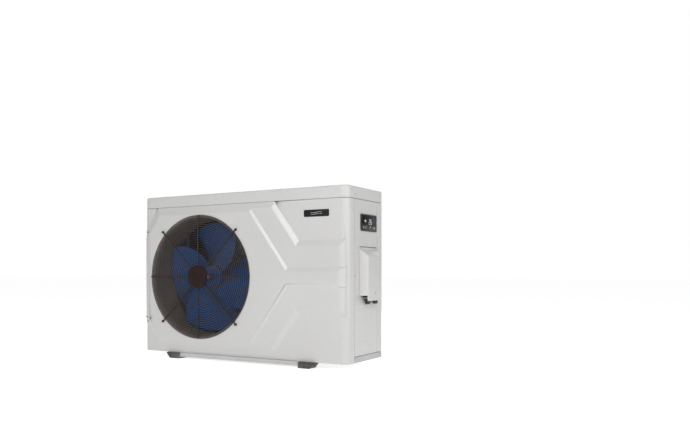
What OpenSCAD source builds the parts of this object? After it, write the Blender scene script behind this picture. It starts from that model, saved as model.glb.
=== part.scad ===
// Side-discharge air-to-water heat pump for a pool.
// X runs to the right seen from the front, the front faces -Y, Z is up.
// The origin is on the ground, at the centre of the four foot bolts. All sizes are millimetres.

/* [Casing] */
// Width of the casing
casing_w = 900; // [820:10:1100]
// Height of the casing without the feet
casing_h = 600; // [560:10:760]
// Depth of the casing, flat front to back
casing_d = 268; // [260:2:330]
// Thickness of the panels
sheet = 1.2; // [0.8:0.1:2]
// Radius of the upright front corners
corner_r = 25; // [12:1:40]
// Height of the skirt round the top cover
skirt_h = 42; // [30:1:60]
// Gap between two panels that meet in one plane
seam = 1.5; // [0.8:0.1:3]
// How far the front panel wraps round each side
front_wrap = 49; // [40:1:60]
// How far the rear panel and rear post wrap round each side
rear_wrap = 38; // [30:1:50]

/* [Front embossing] */
// Height of the first step of the embossing
step1_h = 8; // [4:0.5:12]
// Height of the second step above the first
step2_h = 4.8; // [2:0.4:8]
// Width of the slope up to the first step
slope1_w = 19; // [10:1:30]
// Width of the slope up to the second step
slope2_w = 12; // [6:1:20]
// Angle of the sloping sides from level
emboss_angle = 54; // [45:1:65]
// Left tip of the raised field, from the left end of the casing
field_left = -90; // [-120:1:-60]
// Right tip of the second step, from the left end of the casing
field_right2 = 687; // [660:1:720]
// Right tip of the first step, from the left end of the casing
field_right1 = 792; // [760:1:830]
// Top of the second step, below the top of the front panel
field_top = 26; // [22:1:40]
// Half the height of the second step's arm
arm2_half = 27; // [15:1:40]
// Half the height of the first step's arm
arm1_half = 117; // [90:1:130]

/* [Fan] */
// Fan centre, from the left end of the casing
fan_from_left = 282; // [268:1:330]
// Fan centre, above the bottom of the casing
fan_up = 290; // [270:1:330]
// Radius of the fan over its blade tips
fan_r = 208; // [180:1:212]
// Gap between the blade tips and the duct
tip_gap = 9; // [6:1:20]
// Depth of the duct behind the flat front
duct_depth = 104; // [80:1:112]
// Number of blades
blade_count = 4; // [3:1:5]
// Angle that a blade spans at its root
blade_root_span = 108; // [90:1:110]
// Angle that a blade spans at its tip
blade_tip_span = 70; // [60:1:84]
// Depth of a blade along the shaft
blade_depth = 66; // [40:1:76]
// Thickness of a blade
blade_t = 3; // [2:0.5:5]
// Radius of the fan hub
hub_r = 46; // [36:1:56]
// Length of the fan hub
hub_len = 62; // [50:1:70]
// Radius of the motor shaft
shaft_r = 6; // [5:0.5:8]
// Radial clearance of the shaft in the motor
shaft_clear = 0.05; // [0.02:0.01:0.1]
// Radius of the motor
motor_r = 56; // [45:1:65]
// Length of the motor
motor_len = 74; // [60:1:84]

/* [Fan grille] */
// Radius of the outermost ring
grille_r = 232; // [226:1:250]
// Radius over the ends of the four long spokes
spoke_end_r = 243; // [238:1:262]
// Number of rings
ring_count = 24; // [8:1:30]
// Thickness of the ring wire
ring_wire = 2.4; // [2:0.1:4]
// Thickness of the spoke wire
spoke_wire = 5; // [3:0.5:6]
// Radius of the disc in the middle
disc_r = 44; // [30:1:60]

/* [Base] */
// Height of the feet
foot_h = 22; // [18:1:40]
// Foot bolt spacing along the width
bolt_span_x = 590; // [500:5:640]
// Foot bolt spacing along the depth
bolt_span_y = 250; // [246:1:300]
// Radius of the foot bolt holes
bolt_hole_r = 4.5; // [3.5:0.5:6]
// Length of a foot at its top
foot_len = 62; // [40:1:90]
// Width of a foot, front to back
foot_w = 48; // [30:1:50]
// Height of the pan's rim
rim_h = 20; // [15:1:30]
// Height of the rail between two feet
rail_h = 15; // [10:1:16]

/* [Water side] */
// Radius of the pipe that the unions take
pipe_r = 25; // [20:0.5:32]
// Wall of the water pipes
pipe_wall = 3; // [2:0.5:5]
// How far a union nut stands out round its tailpiece
union_nut_wall = 12; // [11:1:18]
// Length of a union nut
union_nut_len = 34; // [26:1:44]
// How far a union stands out of the rear panel
union_out = 62; // [55:1:80]
// Radius of the heat exchanger vessel
vessel_r = 62; // [50:1:66]
// Height of the heat exchanger vessel
vessel_h = 400; // [340:5:420]
// Lower union, above the bottom of the casing
inlet_up = 118; // [110:1:140]
// Upper union, above the bottom of the casing
outlet_up = 372; // [350:1:390]

/* [Refrigerant side] */
// Radius of the compressor
compressor_r = 58; // [45:1:60]
// Height of the compressor shell
compressor_h = 235; // [180:5:270]
// Radius of the accumulator
accumulator_r = 27; // [22:1:30]
// Radius of the refrigerant pipes
tube_r = 5; // [4:0.5:7]
// Bend radius of the refrigerant pipes
tube_bend = 16; // [12:1:22]
// Thickness of the finned coil
coil_t = 36; // [22:1:38]
// Distance between two fins of the coil
fin_pitch = 5; // [4:0.5:8]
// Number of tube rows up the coil
tube_rows = 20; // [10:2:24]

/* [Controls] */
// Height of the display's middle above the casing bottom
display_up = 479; // [460:1:500]
// Length of the display
display_l = 127; // [90:1:140]
// Height of the display
display_h = 59; // [40:1:70]
// Middle of the display and of the terminal cover, behind the flat front
controls_back = 156; // [150:1:165]
// Length of the terminal cover where it meets the panel
cover_l = 138; // [120:1:146]
// How far the terminal cover stands out
cover_out = 26; // [22:1:34]
// Length by which each end of the cover slopes
cover_slope = 17; // [8:1:24]
// Bottom of the terminal cover above the casing bottom
cover_low = 209; // [190:1:230]
// Top of the terminal cover above the casing bottom
cover_top = 387; // [350:1:400]
// Radius of the cable glands
gland_r = 11; // [9:0.5:11]
// Clearance round pieces that move
clear = 0.4; // [0.3:0.1:0.8]

/* [Hidden] */
$fn = 96;

white = [0.86, 0.87, 0.87];
grey = [0.55, 0.56, 0.56];
dark = [0.12, 0.1, 0.1];
zinc = [0.72, 0.74, 0.76];
copper = [0.78, 0.45, 0.3];
eps = 0.01;
over = 1;

x_left = -casing_w / 2;
x_right = casing_w / 2;
y_front = -casing_d / 2;
y_back = casing_d / 2;
z_low = foot_h;
z_top = foot_h + casing_h;
z_skirt = z_top - skirt_h;
z_panel = z_skirt - seam;
y_side0 = y_front + front_wrap + seam;
y_side1 = y_back - rear_wrap - seam;
z_rim = z_low + rim_h;

fan_x = x_left + fan_from_left;
fan_z = z_low + fan_up;
throat_r = fan_r + tip_gap;
lift2 = step1_h + step2_h;
y_field = y_front - lift2;
y_duct_end = y_front + duct_depth;

// Places along the depth, in the fan's compartment
coil_y1 = y_back - 10;
coil_y0 = coil_y1 - coil_t;
bracket_t = 18;
bracket_y = coil_y0 - bracket_t - 2;
motor_y1 = bracket_y;
motor_y0 = motor_y1 - motor_len;
hub_gap = 6;
hub_y1 = motor_y0 - hub_gap;
hub_y0 = hub_y1 - hub_len;
blade_mid = (hub_y0 + hub_y1) / 2;
shaft_y0 = hub_y0 - 14;
shaft_in = 46;
nut_h = 9;

// The upright wall between fan and compressor
wall_x = fan_x + throat_r + 90;

// Places in the compressor compartment
vessel_wall = 4;
vessel_x = x_right - vessel_r - 38;
vessel_y = y_back - vessel_r - 22;
vessel_z0 = z_low + sheet;
vessel_z1 = vessel_z0 + vessel_h;
lid_h = 12;
grommet_h = 14;
plate_t = 4;
plate_r = compressor_r + 22;
compressor_x = wall_x + plate_r + 8;
compressor_y = y_front + plate_r + 10;
compressor_z0 = z_low + sheet + grommet_h;
compressor_z1 = compressor_z0 + plate_t + compressor_h;
accumulator_y = compressor_y + compressor_r + accumulator_r + 8;
accumulator_z0 = compressor_z0 + 50;
accumulator_h = 140;
accumulator_z1 = accumulator_z0 + accumulator_h;
valve_z = compressor_z1 + 74;
valve_y0 = compressor_y - 20;
valve_r = 15;
line_y = vessel_y + 34;
line_z = z_low + 68;
gas_z = valve_z + 45;
box_z0 = z_low + 440;
box_z1 = z_skirt - 12;
box_x0 = wall_x + 14;
box_x1 = x_right - 62;
box_y0 = y_front + 16;
box_y1 = y_front + 150;
tail_r = pipe_r + pipe_wall;
inlet_z = z_low + inlet_up;
outlet_z = min(z_low + outlet_up, vessel_z1 - tail_r - 1);
union_nut_r = tail_r + union_nut_wall;
collar_r = union_nut_r - 7;
collar_t = 8;
y_collar = y_back + union_out - 28;
nut_lip = 6;

// Places on the right side
controls_y = y_front + controls_back;
display_z = z_low + display_up;
cover_z0 = z_low + cover_low;
cover_z1 = z_low + cover_top;
cover_face_z1 = cover_z1 - 23;
hinge_z = cover_z1 + 6;
window_l = cover_l - 36;
window_z0 = cover_z0 + 44;
window_z1 = cover_z1 - 40;

// A block between two opposite corners
module block(low, high) {
  translate(low) cube(high - low);
}

// A round bar along Y, from its front end
module bar_y(r, y0, y1) {
  translate([0, y1, 0]) rotate([90, 0, 0]) cylinder(r = r, h = y1 - y0);
}

// A round bar along X, from its left end
module bar_x(r, x0, x1) {
  translate([x0, 0, 0]) rotate([0, 90, 0]) cylinder(r = r, h = x1 - x0);
}

// A pan-head screw with its head's seat at the origin and its shank along -Z
module screw(r = 2, len = 9, head_r = 4.5, head_h = 2.4) {
  cylinder(r = head_r, h = head_h, $fn = 48);
  translate([0, 0, -len]) cylinder(r = r, h = len + eps, $fn = 32);
}

function unit(v) = v / norm(v);

// A round pipe along a path whose stretches run along X, Y or Z, with bends at its corners
module pipe_run(points, r, bend) {
  last = len(points) - 1;
  for (i = [0:last - 1]) {
    a = points[i];
    b = points[i + 1];
    dir = unit(b - a);
    from = i == 0 ? a : a + dir * bend;
    to = i == last - 1 ? b : b - dir * bend;
    length = norm(to - from);
    turn = abs(dir.z) > 0.5 ? [dir.z > 0 ? 0 : 180, 0, 0]
         : abs(dir.x) > 0.5 ? [0, dir.x > 0 ? 90 : -90, 0]
         : [dir.y > 0 ? -90 : 90, 0, 0];
    translate(from) rotate(turn) cylinder(r = r, h = length, $fn = 48);
  }
  if (last > 1)
    for (i = [1:last - 1]) {
      in_dir = unit(points[i] - points[i - 1]);
      out_dir = unit(points[i + 1] - points[i]);
      ex = -out_dir;
      ez = cross(ex, in_dir);
      c = points[i] - in_dir * bend + out_dir * bend;
      multmatrix([
        [ex.x, in_dir.x, ez.x, c.x],
        [ex.y, in_dir.y, ez.y, c.y],
        [ex.z, in_dir.z, ez.z, c.z],
        [0, 0, 0, 1]
      ])
        rotate_extrude(angle = 90) translate([bend, 0]) circle(r = r, $fn = 48);
    }
}

// A raised field with sloping edges: the outline at its foot, then at its top
module frustum(foot, top, y_foot, y_top, y_root) {
  n = len(foot);
  points = concat(
    [for (p = foot) [p.x, y_root, p.y]],
    [for (p = foot) [p.x, y_foot, p.y]],
    [for (p = top) [p.x, y_top, p.y]]
  );
  faces = concat(
    [[for (i = [0:n - 1]) i]],
    [for (k = [0:1], i = [0:n - 1])
      [k * n + i, k * n + n + i, k * n + n + (i + 1) % n, k * n + (i + 1) % n]],
    [[for (i = [n - 1:-1:0]) 2 * n + i]]
  );
  polyhedron(points, faces, convexity = 2);
}

// The six-sided field round the fan, grown by g
function field(left, right, high, g) =
  let (
    s = g / sin(emboss_angle),
    up = high + g,
    run = up / tan(emboss_angle),
    l = x_left + left - s,
    r = x_left + right + s
  )
  [[l, fan_z], [l + run, fan_z - up], [r - run, fan_z - up],
   [r, fan_z], [r - run, fan_z + up], [l + run, fan_z + up]];

// The arm that runs from the field to the right end, grown by g
function arm(right, half, g) =
  let (l = x_left + right - 140, r = x_right + 60)
  [[l, fan_z - half - g], [r, fan_z - half - g], [r, fan_z + half + g], [l, fan_z + half + g]];

module raised(outline_foot, outline_top, low, rise, inset) {
  frustum(outline_foot, outline_top,
          y_front - low + inset, y_front - low - rise + inset, y_front + inset + 2);
}

field_up2 = z_panel - field_top - fan_z;
field_up1 = field_up2 + (slope1_w + slope2_w) / 2;
field_left1 = field_left - (slope1_w + slope2_w) / 2 / sin(emboss_angle);

// The front panel's outline seen from above, standing out by lift, drawn in by inset
module front_plan(lift, inset) {
  r = corner_r + lift - inset;
  translate([x_left + inset, y_front + corner_r])
    square([casing_w - 2 * inset, front_wrap - corner_r]);
  translate([x_left + inset + r, y_front - lift + inset])
    square([casing_w - 2 * inset - 2 * r, corner_r + lift]);
  for (side = [-1, 1])
    translate([side * (x_right - inset - r), y_front + corner_r])
      intersection() {
        circle(r = r);
        translate([-2 * r, -2 * r]) square([4 * r, 2 * r + eps]);
      }
}

module upright(z0, z1) {
  translate([0, 0, z0]) linear_extrude(z1 - z0) children();
}

module front_form(inset) {
  z0 = inset > 0 ? z_low - over : z_low;
  z1 = inset > 0 ? z_panel + over : z_panel;
  upright(z0, z1) front_plan(0, inset);
  intersection() {
    upright(z0, z1) front_plan(step1_h, inset);
    union() {
      raised(field(field_left1, field_right1, field_up1, slope1_w / 2),
             field(field_left1, field_right1, field_up1, -slope1_w / 2), 0, step1_h, inset);
      raised(arm(field_right1, arm1_half, slope1_w / 2),
             arm(field_right1, arm1_half, -slope1_w / 2), 0, step1_h, inset);
    }
  }
  intersection() {
    upright(z0, z1) front_plan(lift2, inset);
    union() {
      raised(field(field_left, field_right2, field_up2, slope2_w / 2),
             field(field_left, field_right2, field_up2, -slope2_w / 2),
             step1_h, step2_h, inset);
      raised(arm(field_right2, arm2_half, slope2_w / 2),
             arm(field_right2, arm2_half, -slope2_w / 2), step1_h, step2_h, inset);
    }
  }
}

// Screw places up each side, and how far behind the flat front they stand
side_screw_y = y_front + front_wrap + 5;
side_screw_z = [z_low + rim_h - 6, z_low + 0.49 * casing_h, z_top - 0.7 * skirt_h];
screw_r = 2;
screw_hole = screw_r + 0.1;
lip_w = 22;

module side_screw_holes(x0, x1) {
  for (z = side_screw_z)
    translate([0, side_screw_y, z]) bar_x(screw_hole, x0, x1);
}

// ---- Base ----

module pan_plan(inset) {
  front_plan(0, sheet + clear + inset);
  translate([x_left + 3 * sheet + inset, y_front + front_wrap - 5])
    square([casing_w - 6 * sheet - 2 * inset, seam + 12]);
  translate([x_left + inset, y_side0 + inset])
    square([casing_w - 2 * inset, y_back - y_side0 - 2 * inset]);
}

module foot_places() {
  for (sx = [-1, 1], sy = [-1, 1])
    translate([sx * bolt_span_x / 2, sy * bolt_span_y / 2, 0]) children();
}

drain_x = fan_x;
drain_y = 40;
drain_r = 9;
drain_bore_r = 6.5;

module base_pan() {
  color(grey)
    difference() {
      upright(z_low, z_rim) pan_plan(0);
      upright(z_low + sheet, z_rim + over) pan_plan(sheet);
      foot_places() translate([0, 0, z_low - over]) cylinder(r = bolt_hole_r, h = sheet + 2 * over);
      translate([drain_x, drain_y, z_low - over])
        cylinder(r = drain_r + clear / 4, h = sheet + 2 * over);
      side_screw_holes(x_left - over, x_left + 4);
      side_screw_holes(x_right - 4, x_right + over);
    }
}

module base_rails() {
  half = bolt_span_x / 2 - foot_len / 2;
  color(grey)
    for (sy = [-1, 1])
      difference() {
        block([-half, sy * bolt_span_y / 2 - foot_w / 3, z_low - rail_h],
              [half, sy * bolt_span_y / 2 + foot_w / 3, z_low]);
        block([-half - over, sy * bolt_span_y / 2 - foot_w / 3 + 2, z_low - rail_h - over],
              [half + over, sy * bolt_span_y / 2 + foot_w / 3 - 2, z_low - 2]);
      }
}

module rubber_feet() {
  half = foot_len / 2;
  slant = 0.8 * foot_h;
  color(dark)
    for (sx = [-1, 1], sy = [-1, 1])
      translate([sx * bolt_span_x / 2, sy * bolt_span_y / 2, 0])
        difference() {
          translate([0, foot_w / 2, 0]) rotate([90, 0, 0])
            linear_extrude(foot_w)
              polygon([[-sx * half, 0], [sx * (half - slant), 0],
                       [sx * half, foot_h], [-sx * half, foot_h]]);
          translate([0, 0, -over]) cylinder(r = bolt_hole_r, h = foot_h + 2 * over);
        }
}

module drain_nipple() {
  color(dark)
    translate([drain_x, drain_y, 0])
      difference() {
        union() {
          translate([0, 0, 6]) cylinder(r = drain_r, h = z_low + sheet - 6);
          translate([0, 0, z_low + sheet]) cylinder(r = drain_r + 4, h = 2);
        }
        translate([0, 0, 6 - over]) cylinder(r = drain_bore_r, h = foot_h);
      }
}

// ---- Panels ----

open_r = grille_r - 2;

module front_panel() {
  color(white)
    difference() {
      union() {
        difference() {
          front_form(0);
          front_form(sheet);
        }
        for (side = [-1, 1])
          block([side * (x_right - 1.5 * sheet) - sheet / 2, y_front + front_wrap - 8, z_rim + 4],
                [side * (x_right - 1.5 * sheet) + sheet / 2, y_front + front_wrap - 8 + lip_w,
                 z_panel - 4]);
        block([x_left + corner_r + 4, y_front + sheet, z_panel - 1.6],
              [x_right - corner_r - 4, y_front + 2 * sheet, z_panel + 14]);
      }
      translate([fan_x, 0, fan_z]) bar_y(open_r, y_field - over, y_front);
      side_screw_holes(x_left - over, x_left + 6);
      side_screw_holes(x_right - 6, x_right + over);
    }
}

module cover_plan(inset) {
  r = corner_r - inset;
  translate([x_left + inset, y_front + corner_r])
    square([casing_w - 2 * inset, casing_d - corner_r - inset]);
  translate([x_left + corner_r, y_front + inset])
    square([casing_w - 2 * corner_r, corner_r]);
  for (side = [-1, 1])
    translate([side * (x_right - corner_r), y_front + corner_r]) circle(r = r);
}

module top_cover() {
  color(white)
    difference() {
      upright(z_skirt, z_top) cover_plan(0);
      upright(z_skirt - over, z_top - sheet) cover_plan(sheet);
      side_screw_holes(x_left - over, x_left + 4);
      side_screw_holes(x_right - 4, x_right + over);
    }
}

slot_low = 3.2;
slot_high = 2.6;
slot_l = cover_l - 4;

module right_side_panel() {
  color(white)
    difference() {
      union() {
        block([x_right - sheet, y_side0, z_rim + seam], [x_right, y_side1, z_panel]);
        block([x_right - 14, y_side1 - sheet, z_rim + seam + 4], [x_right - sheet, y_side1, z_panel - 4]);
      }
      side_screw_holes(x_right - 4, x_right + over);
      block([x_right - 3, controls_y - window_l / 2, window_z0],
            [x_right + over, controls_y + window_l / 2, window_z1]);
      block([x_right - 3, controls_y - slot_l / 2, hinge_z - slot_low],
            [x_right + over, controls_y + slot_l / 2, hinge_z + slot_high]);
      block([x_right - 3, controls_y - display_l / 2 + 5, display_z - display_h / 2 + 5],
            [x_right + over, controls_y + display_l / 2 - 5, display_z + display_h / 2 - 5]);
      translate([0, controls_y, cover_z0 + 26]) bar_x(screw_r + 0.5, x_right - 4, x_right + over);
    }
}

module rear_panel() {
  color(white)
    difference() {
      union() {
        block([wall_x, y_back - sheet, z_rim + seam], [x_right, y_back, z_panel]);
        block([x_right - sheet, y_back - rear_wrap, z_rim + seam], [x_right, y_back, z_panel]);
        block([wall_x, y_back - 12, z_rim + seam], [wall_x + sheet, y_back, z_panel]);
      }
      for (z = [inlet_z, outlet_z])
        translate([vessel_x, 0, z]) bar_y(tail_r + 2, y_back - 4, y_back + over);
    }
}

module rear_left_post() {
  color(white) {
    block([x_left, y_back - rear_wrap, z_rim + seam], [x_left + sheet, y_back, z_panel]);
    block([x_left + sheet, y_back - sheet, z_rim + seam], [x_left + rear_wrap, y_back, z_panel]);
  }
}

guard_t = 3;
guard_bar = 2.4;
guard_pitch_u = 26;
guard_pitch_v = 62;

// A flat guard of crossing bars, w long and h high, in the XY plane
module guard_grid(w, h) {
  nu = floor(w / guard_pitch_u);
  nv = floor(h / guard_pitch_v);
  cell_u = (w - guard_bar) / nu;
  cell_v = (h - guard_bar) / nv;
  linear_extrude(guard_t)
    difference() {
      square([w, h]);
      for (i = [0:nu - 1], j = [0:nv - 1])
        translate([i * cell_u + guard_bar, j * cell_v + guard_bar])
          square([cell_u - guard_bar, cell_v - guard_bar]);
    }
}

module rear_guard() {
  color(dark)
    translate([x_left + rear_wrap + 1, y_back - 1, z_rim + seam + 1]) rotate([90, 0, 0])
      guard_grid(wall_x - x_left - rear_wrap - 2, z_panel - z_rim - seam - 2);
}

module left_guard() {
  color(dark)
    translate([x_left + 0.5, y_side0 + lip_w, z_rim + seam + 1]) rotate([90, 0, 90])
      guard_grid(y_side1 - y_side0 - lip_w, z_panel - z_rim - seam - 2);
}

module partition_panel() {
  color(zinc)
    difference() {
      block([wall_x - sheet, y_front + 12, z_low + sheet], [wall_x, y_back - 14, z_panel - 2]);
      translate([0, line_y, line_z]) bar_x(tube_r + 2, wall_x - 4, wall_x + over);
      translate([0, valve_y0 + 12, gas_z]) bar_x(tube_r + 2, wall_x - 4, wall_x + over);
    }
}

module name_plate() {
  w = 98;
  h = 24;
  r = 4;
  color(dark)
    translate([x_right - 120, y_front, z_low + 509]) rotate([90, 0, 0])
      linear_extrude(1.2) {
        square([w - 2 * r, h], center = true);
        square([w, h - 2 * r], center = true);
        for (sx = [-1, 1], sy = [-1, 1])
          translate([sx * (w / 2 - r), sy * (h / 2 - r)]) circle(r = r);
      }
}

module panel_screws() {
  color(zinc)
    for (side = [-1, 1], z = side_screw_z)
      translate([side * x_right, side_screw_y, z]) rotate([0, side * 90, 0])
        screw(screw_r, 8, 3.4, 1.6);
}

// ---- Fan side ----

duct_wall = 2;
flange_r = open_r + 2.5;

module fan_duct() {
  y0 = y_field + sheet;
  mouth = 26;
  steps = 8;
  inner = [for (i = [0:steps])
    [throat_r + (open_r - throat_r) * (1 - sin(90 * i / steps)), y0 + mouth * (1 - cos(90 * i / steps))]];
  outer = [for (i = [steps:-1:0]) [inner[i].x + duct_wall, inner[i].y + (i == 0 ? duct_wall : 0)]];
  color(grey)
    translate([fan_x, 0, fan_z]) rotate([-90, 0, 0])
      rotate_extrude($fn = 128)
        polygon(concat(inner, [[throat_r, y_duct_end], [throat_r + duct_wall, y_duct_end]], outer,
                       [[flange_r, y0 + duct_wall], [flange_r, y0]]));
}

ring_y0 = y_field - ring_wire;
spoke_y0 = ring_y0 - spoke_wire + 0.4;
eye_r = 4.4;
post_r = 3.6;

module fan_grille() {
  pitch = (grille_r - ring_wire / 2 - disc_r + 4) / (ring_count - 1);
  color(dark)
    translate([fan_x, 0, fan_z]) {
      translate([0, y_field, 0]) rotate([90, 0, 0])
        linear_extrude(ring_wire)
          for (i = [0:ring_count - 1])
            difference() {
              circle(r = disc_r - 4 + ring_wire / 2 + i * pitch, $fn = 128);
              circle(r = disc_r - 4 - ring_wire / 2 + i * pitch, $fn = 128);
            }
      translate([0, spoke_y0 + spoke_wire, 0]) rotate([90, 0, 0])
        linear_extrude(spoke_wire)
          difference() {
            union()
              for (a = [0:45:135]) {
                half = a % 90 == 0 ? grille_r : spoke_end_r;
                rotate(a) square([2 * half, spoke_wire], center = true);
                if (a % 90 != 0)
                  for (s = [-1, 1]) rotate(a) translate([s * spoke_end_r, 0]) circle(r = eye_r);
              }
            for (a = [45:90:315]) rotate(a) translate([spoke_end_r, 0]) circle(r = screw_hole);
          }
      for (a = [45:90:315])
        rotate([0, a, 0]) translate([spoke_end_r, 0, 0])
          difference() {
            bar_y(post_r, spoke_y0 + spoke_wire, y_field);
            bar_y(screw_hole, spoke_y0, y_field + over);
          }
    }
}

module grille_disc() {
  t = 5;
  color([0.25, 0.12, 0.1])
    translate([fan_x, spoke_y0, fan_z]) rotate([90, 0, 0])
      rotate_extrude()
        polygon(concat([[0, 0], [disc_r, 0], [disc_r, 1.5]],
                       [for (i = [1:6]) [disc_r * cos(15 * i), 1.5 + (t - 1.5) * sin(15 * i)]]));
}

module grille_screws() {
  color(zinc)
    for (a = [45:90:315])
      translate([fan_x, spoke_y0, fan_z]) rotate([0, a, 0]) translate([spoke_end_r, 0, 0])
        rotate([90, 0, 0]) screw(screw_r, 5.5, 3.6, 2);
}

module motor_bracket() {
  post_w = 24;
  post_x = 48;
  color(zinc)
    difference() {
      union() {
        for (side = [-1, 1])
          block([fan_x + side * post_x - post_w / 2, bracket_y, z_low + sheet],
                [fan_x + side * post_x + post_w / 2, bracket_y + bracket_t, z_panel - 4]);
        block([fan_x - post_x, bracket_y, fan_z - 64], [fan_x + post_x, bracket_y + 2.5, fan_z + 64]);
      }
      for (side = [-1, 1])
        block([fan_x + side * post_x - post_w / 2 + 2, bracket_y + 2.5, z_low],
              [fan_x + side * post_x + post_w / 2 - 2, bracket_y + bracket_t + over, z_panel]);
    }
}

module fan_motor() {
  bore = shaft_r + shaft_clear;
  color(zinc)
    translate([fan_x, 0, fan_z]) rotate([-90, 0, 0])
      rotate_extrude()
        polygon([[bore, motor_y0], [18, motor_y0], [18, motor_y0 + 4], [motor_r - 10, motor_y0 + 4],
                 [motor_r, motor_y0 + 12], [motor_r, motor_y1 - 20], [motor_r + 6, motor_y1 - 20],
                 [motor_r + 6, motor_y1], [0, motor_y1], [0, motor_y0 + shaft_in + 1],
                 [bore, motor_y0 + shaft_in + 1]]);
}

module fan_shaft() {
  color(zinc)
    translate([fan_x, 0, fan_z]) bar_y(shaft_r, shaft_y0, motor_y0 + shaft_in);
}

module fan_hub() {
  color([0.1, 0.22, 0.45])
    translate([fan_x, 0, fan_z]) rotate([-90, 0, 0])
      rotate_extrude()
        polygon([[shaft_r + 0.05, hub_y0], [14, hub_y0], [14, hub_y0 + 3], [hub_r - 8, hub_y0 + 3],
                 [hub_r - 2, hub_y0 + 6], [hub_r, hub_y0 + 12], [hub_r, hub_y1], [hub_r - 3, hub_y1],
                 [hub_r - 3, hub_y0 + 14], [14, hub_y0 + 8], [14, hub_y1], [shaft_r + 0.05, hub_y1]]);
}

blade_lead = 17.5;
blade_rows = 20;
blade_cols = 9;
blade_root_in = 1.5;
tooth_from = 0.3;
tooth_angle = 3.5;
camber = 7;

// A point of a blade: u from root to tip, v from the smooth front edge to the toothed rear edge
function blade_point(u, v, t) =
  let (
    r = hub_r - blade_root_in + (fan_r - hub_r + blade_root_in) * u,
    tooth = (v == 1 && u > tooth_from) ? (round(u * blade_rows) % 2) * tooth_angle : 0,
    sweep = (blade_root_span - blade_tip_span) * u,
    a = blade_lead + sweep + (blade_root_span - sweep - tooth) * v,
    depth = blade_depth * (0.72 + 0.28 * u),
    y = blade_mid + depth * (v - 0.5) - camber * sin(180 * v) * u,
    thin = v == 0 || v == 1 ? 0.35 : 1
  )
  [r * cos(a), y + t * thin / 2, r * sin(a)];

module blade() {
  nu = blade_rows + 1;
  nv = blade_cols + 1;
  n = nu * nv;
  points = [for (side = [-1, 1], i = [0:blade_rows], j = [0:blade_cols])
    blade_point(i / blade_rows, j / blade_cols, side * blade_t)];
  front = [for (i = [0:blade_rows - 1], j = [0:blade_cols - 1])
    let (p = i * nv + j) each [[p, p + 1, p + nv + 1], [p, p + nv + 1, p + nv]]];
  back = [for (f = front) [f[2] + n, f[1] + n, f[0] + n]];
  rim = concat(
    [for (j = [0:blade_cols]) j],
    [for (i = [1:blade_rows]) i * nv + blade_cols],
    [for (j = [blade_cols - 1:-1:0]) blade_rows * nv + j],
    [for (i = [blade_rows - 1:-1:1]) i * nv]
  );
  m = len(rim);
  wall = [for (k = [0:m - 1])
    let (p = rim[k], q = rim[(k + 1) % m]) each [[q, p, p + n], [q, p + n, q + n]]];
  polyhedron(points, concat(front, back, wall), convexity = 4);
}

module fan_blades() {
  color([0.1, 0.25, 0.55])
    translate([fan_x, 0, fan_z])
      for (i = [0:blade_count - 1])
        rotate([0, -i * 360 / blade_count, 0]) blade();
}

module fan_nut() {
  color(zinc)
    translate([fan_x, hub_y0, fan_z]) rotate([90, 0, 0])
      difference() {
        cylinder(r = 11, h = nut_h, $fn = 6);
        translate([0, 0, -over]) cylinder(r = shaft_r + 0.05, h = nut_h + 2 * over);
      }
}

// ---- Coil ----

coil_x0 = x_left + 10;
coil_x1 = wall_x - 34;
coil_z0 = z_low + 12;
coil_z1 = z_panel - 14;
left_x0 = x_left + 6;
left_y0 = y_side0 + lip_w;
left_y1 = coil_y0 - 6;
fin_t = 1;
row_step = (coil_z1 - coil_z0) / tube_rows;
coil_tube_r = 4.8;

// A comb of fins along X, joined by a thin web that stands for the rows of tubes
module fin_comb(length) {
  count = floor(length / fin_pitch);
  web = fin_t;
  side = [for (i = [0:count - 1])
    let (x = i * fin_pitch)
    each [[x, web / 2], [x, coil_t / 2], [x + fin_t, coil_t / 2], [x + fin_t, web / 2]]];
  mirrored = [for (i = [len(side) - 1:-1:0]) [side[i].x, -side[i].y]];
  linear_extrude(coil_z1 - coil_z0) polygon(concat(side, mirrored));
}

module coil_fins_rear() {
  color([0.25, 0.4, 0.6])
    translate([coil_x0 + coil_t, (coil_y0 + coil_y1) / 2, coil_z0]) fin_comb(coil_x1 - coil_x0 - coil_t);
}

module coil_fins_left() {
  color([0.25, 0.4, 0.6])
    translate([left_x0 + coil_t / 2, left_y0, coil_z0]) rotate([0, 0, 90]) fin_comb(left_y1 - left_y0);
}

// Hairpin bends between neighbouring tube rows, from row first upwards, opening towards -X
module bends(first, count, stub) {
  for (i = [0:count - 1])
    translate([0, 0, coil_z0 + (first + 1 + 2 * i) * row_step]) {
      translate([stub, 0, 0]) rotate([90, 90, 0])
        rotate_extrude(angle = 180) translate([row_step / 2, 0]) circle(r = coil_tube_r, $fn = 48);
      for (s = [-1, 1]) translate([0, 0, s * row_step / 2]) bar_x(coil_tube_r, 0, stub);
    }
}

end_plate_t = 1.5;

module coil_return_bends() {
  color(copper) {
    translate([coil_x1 + end_plate_t, (coil_y0 + coil_y1) / 2, 0]) bends(0, tube_rows / 2, 8);
    translate([left_x0 + coil_t / 2, left_y0 - end_plate_t, 0]) rotate([0, 0, -90])
      bends(1, tube_rows / 2 - 1, 3);
  }
}

module coil_end_plates() {
  color(zinc) {
    block([coil_x1, coil_y0, coil_z0 - 4], [coil_x1 + end_plate_t, coil_y1, coil_z1 + 4]);
    block([left_x0, left_y0 - end_plate_t, coil_z0 - 4], [left_x0 + coil_t, left_y0, coil_z1 + 4]);
  }
}

// ---- Compressor compartment ----

stud_spread = plate_r - 11;

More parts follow.
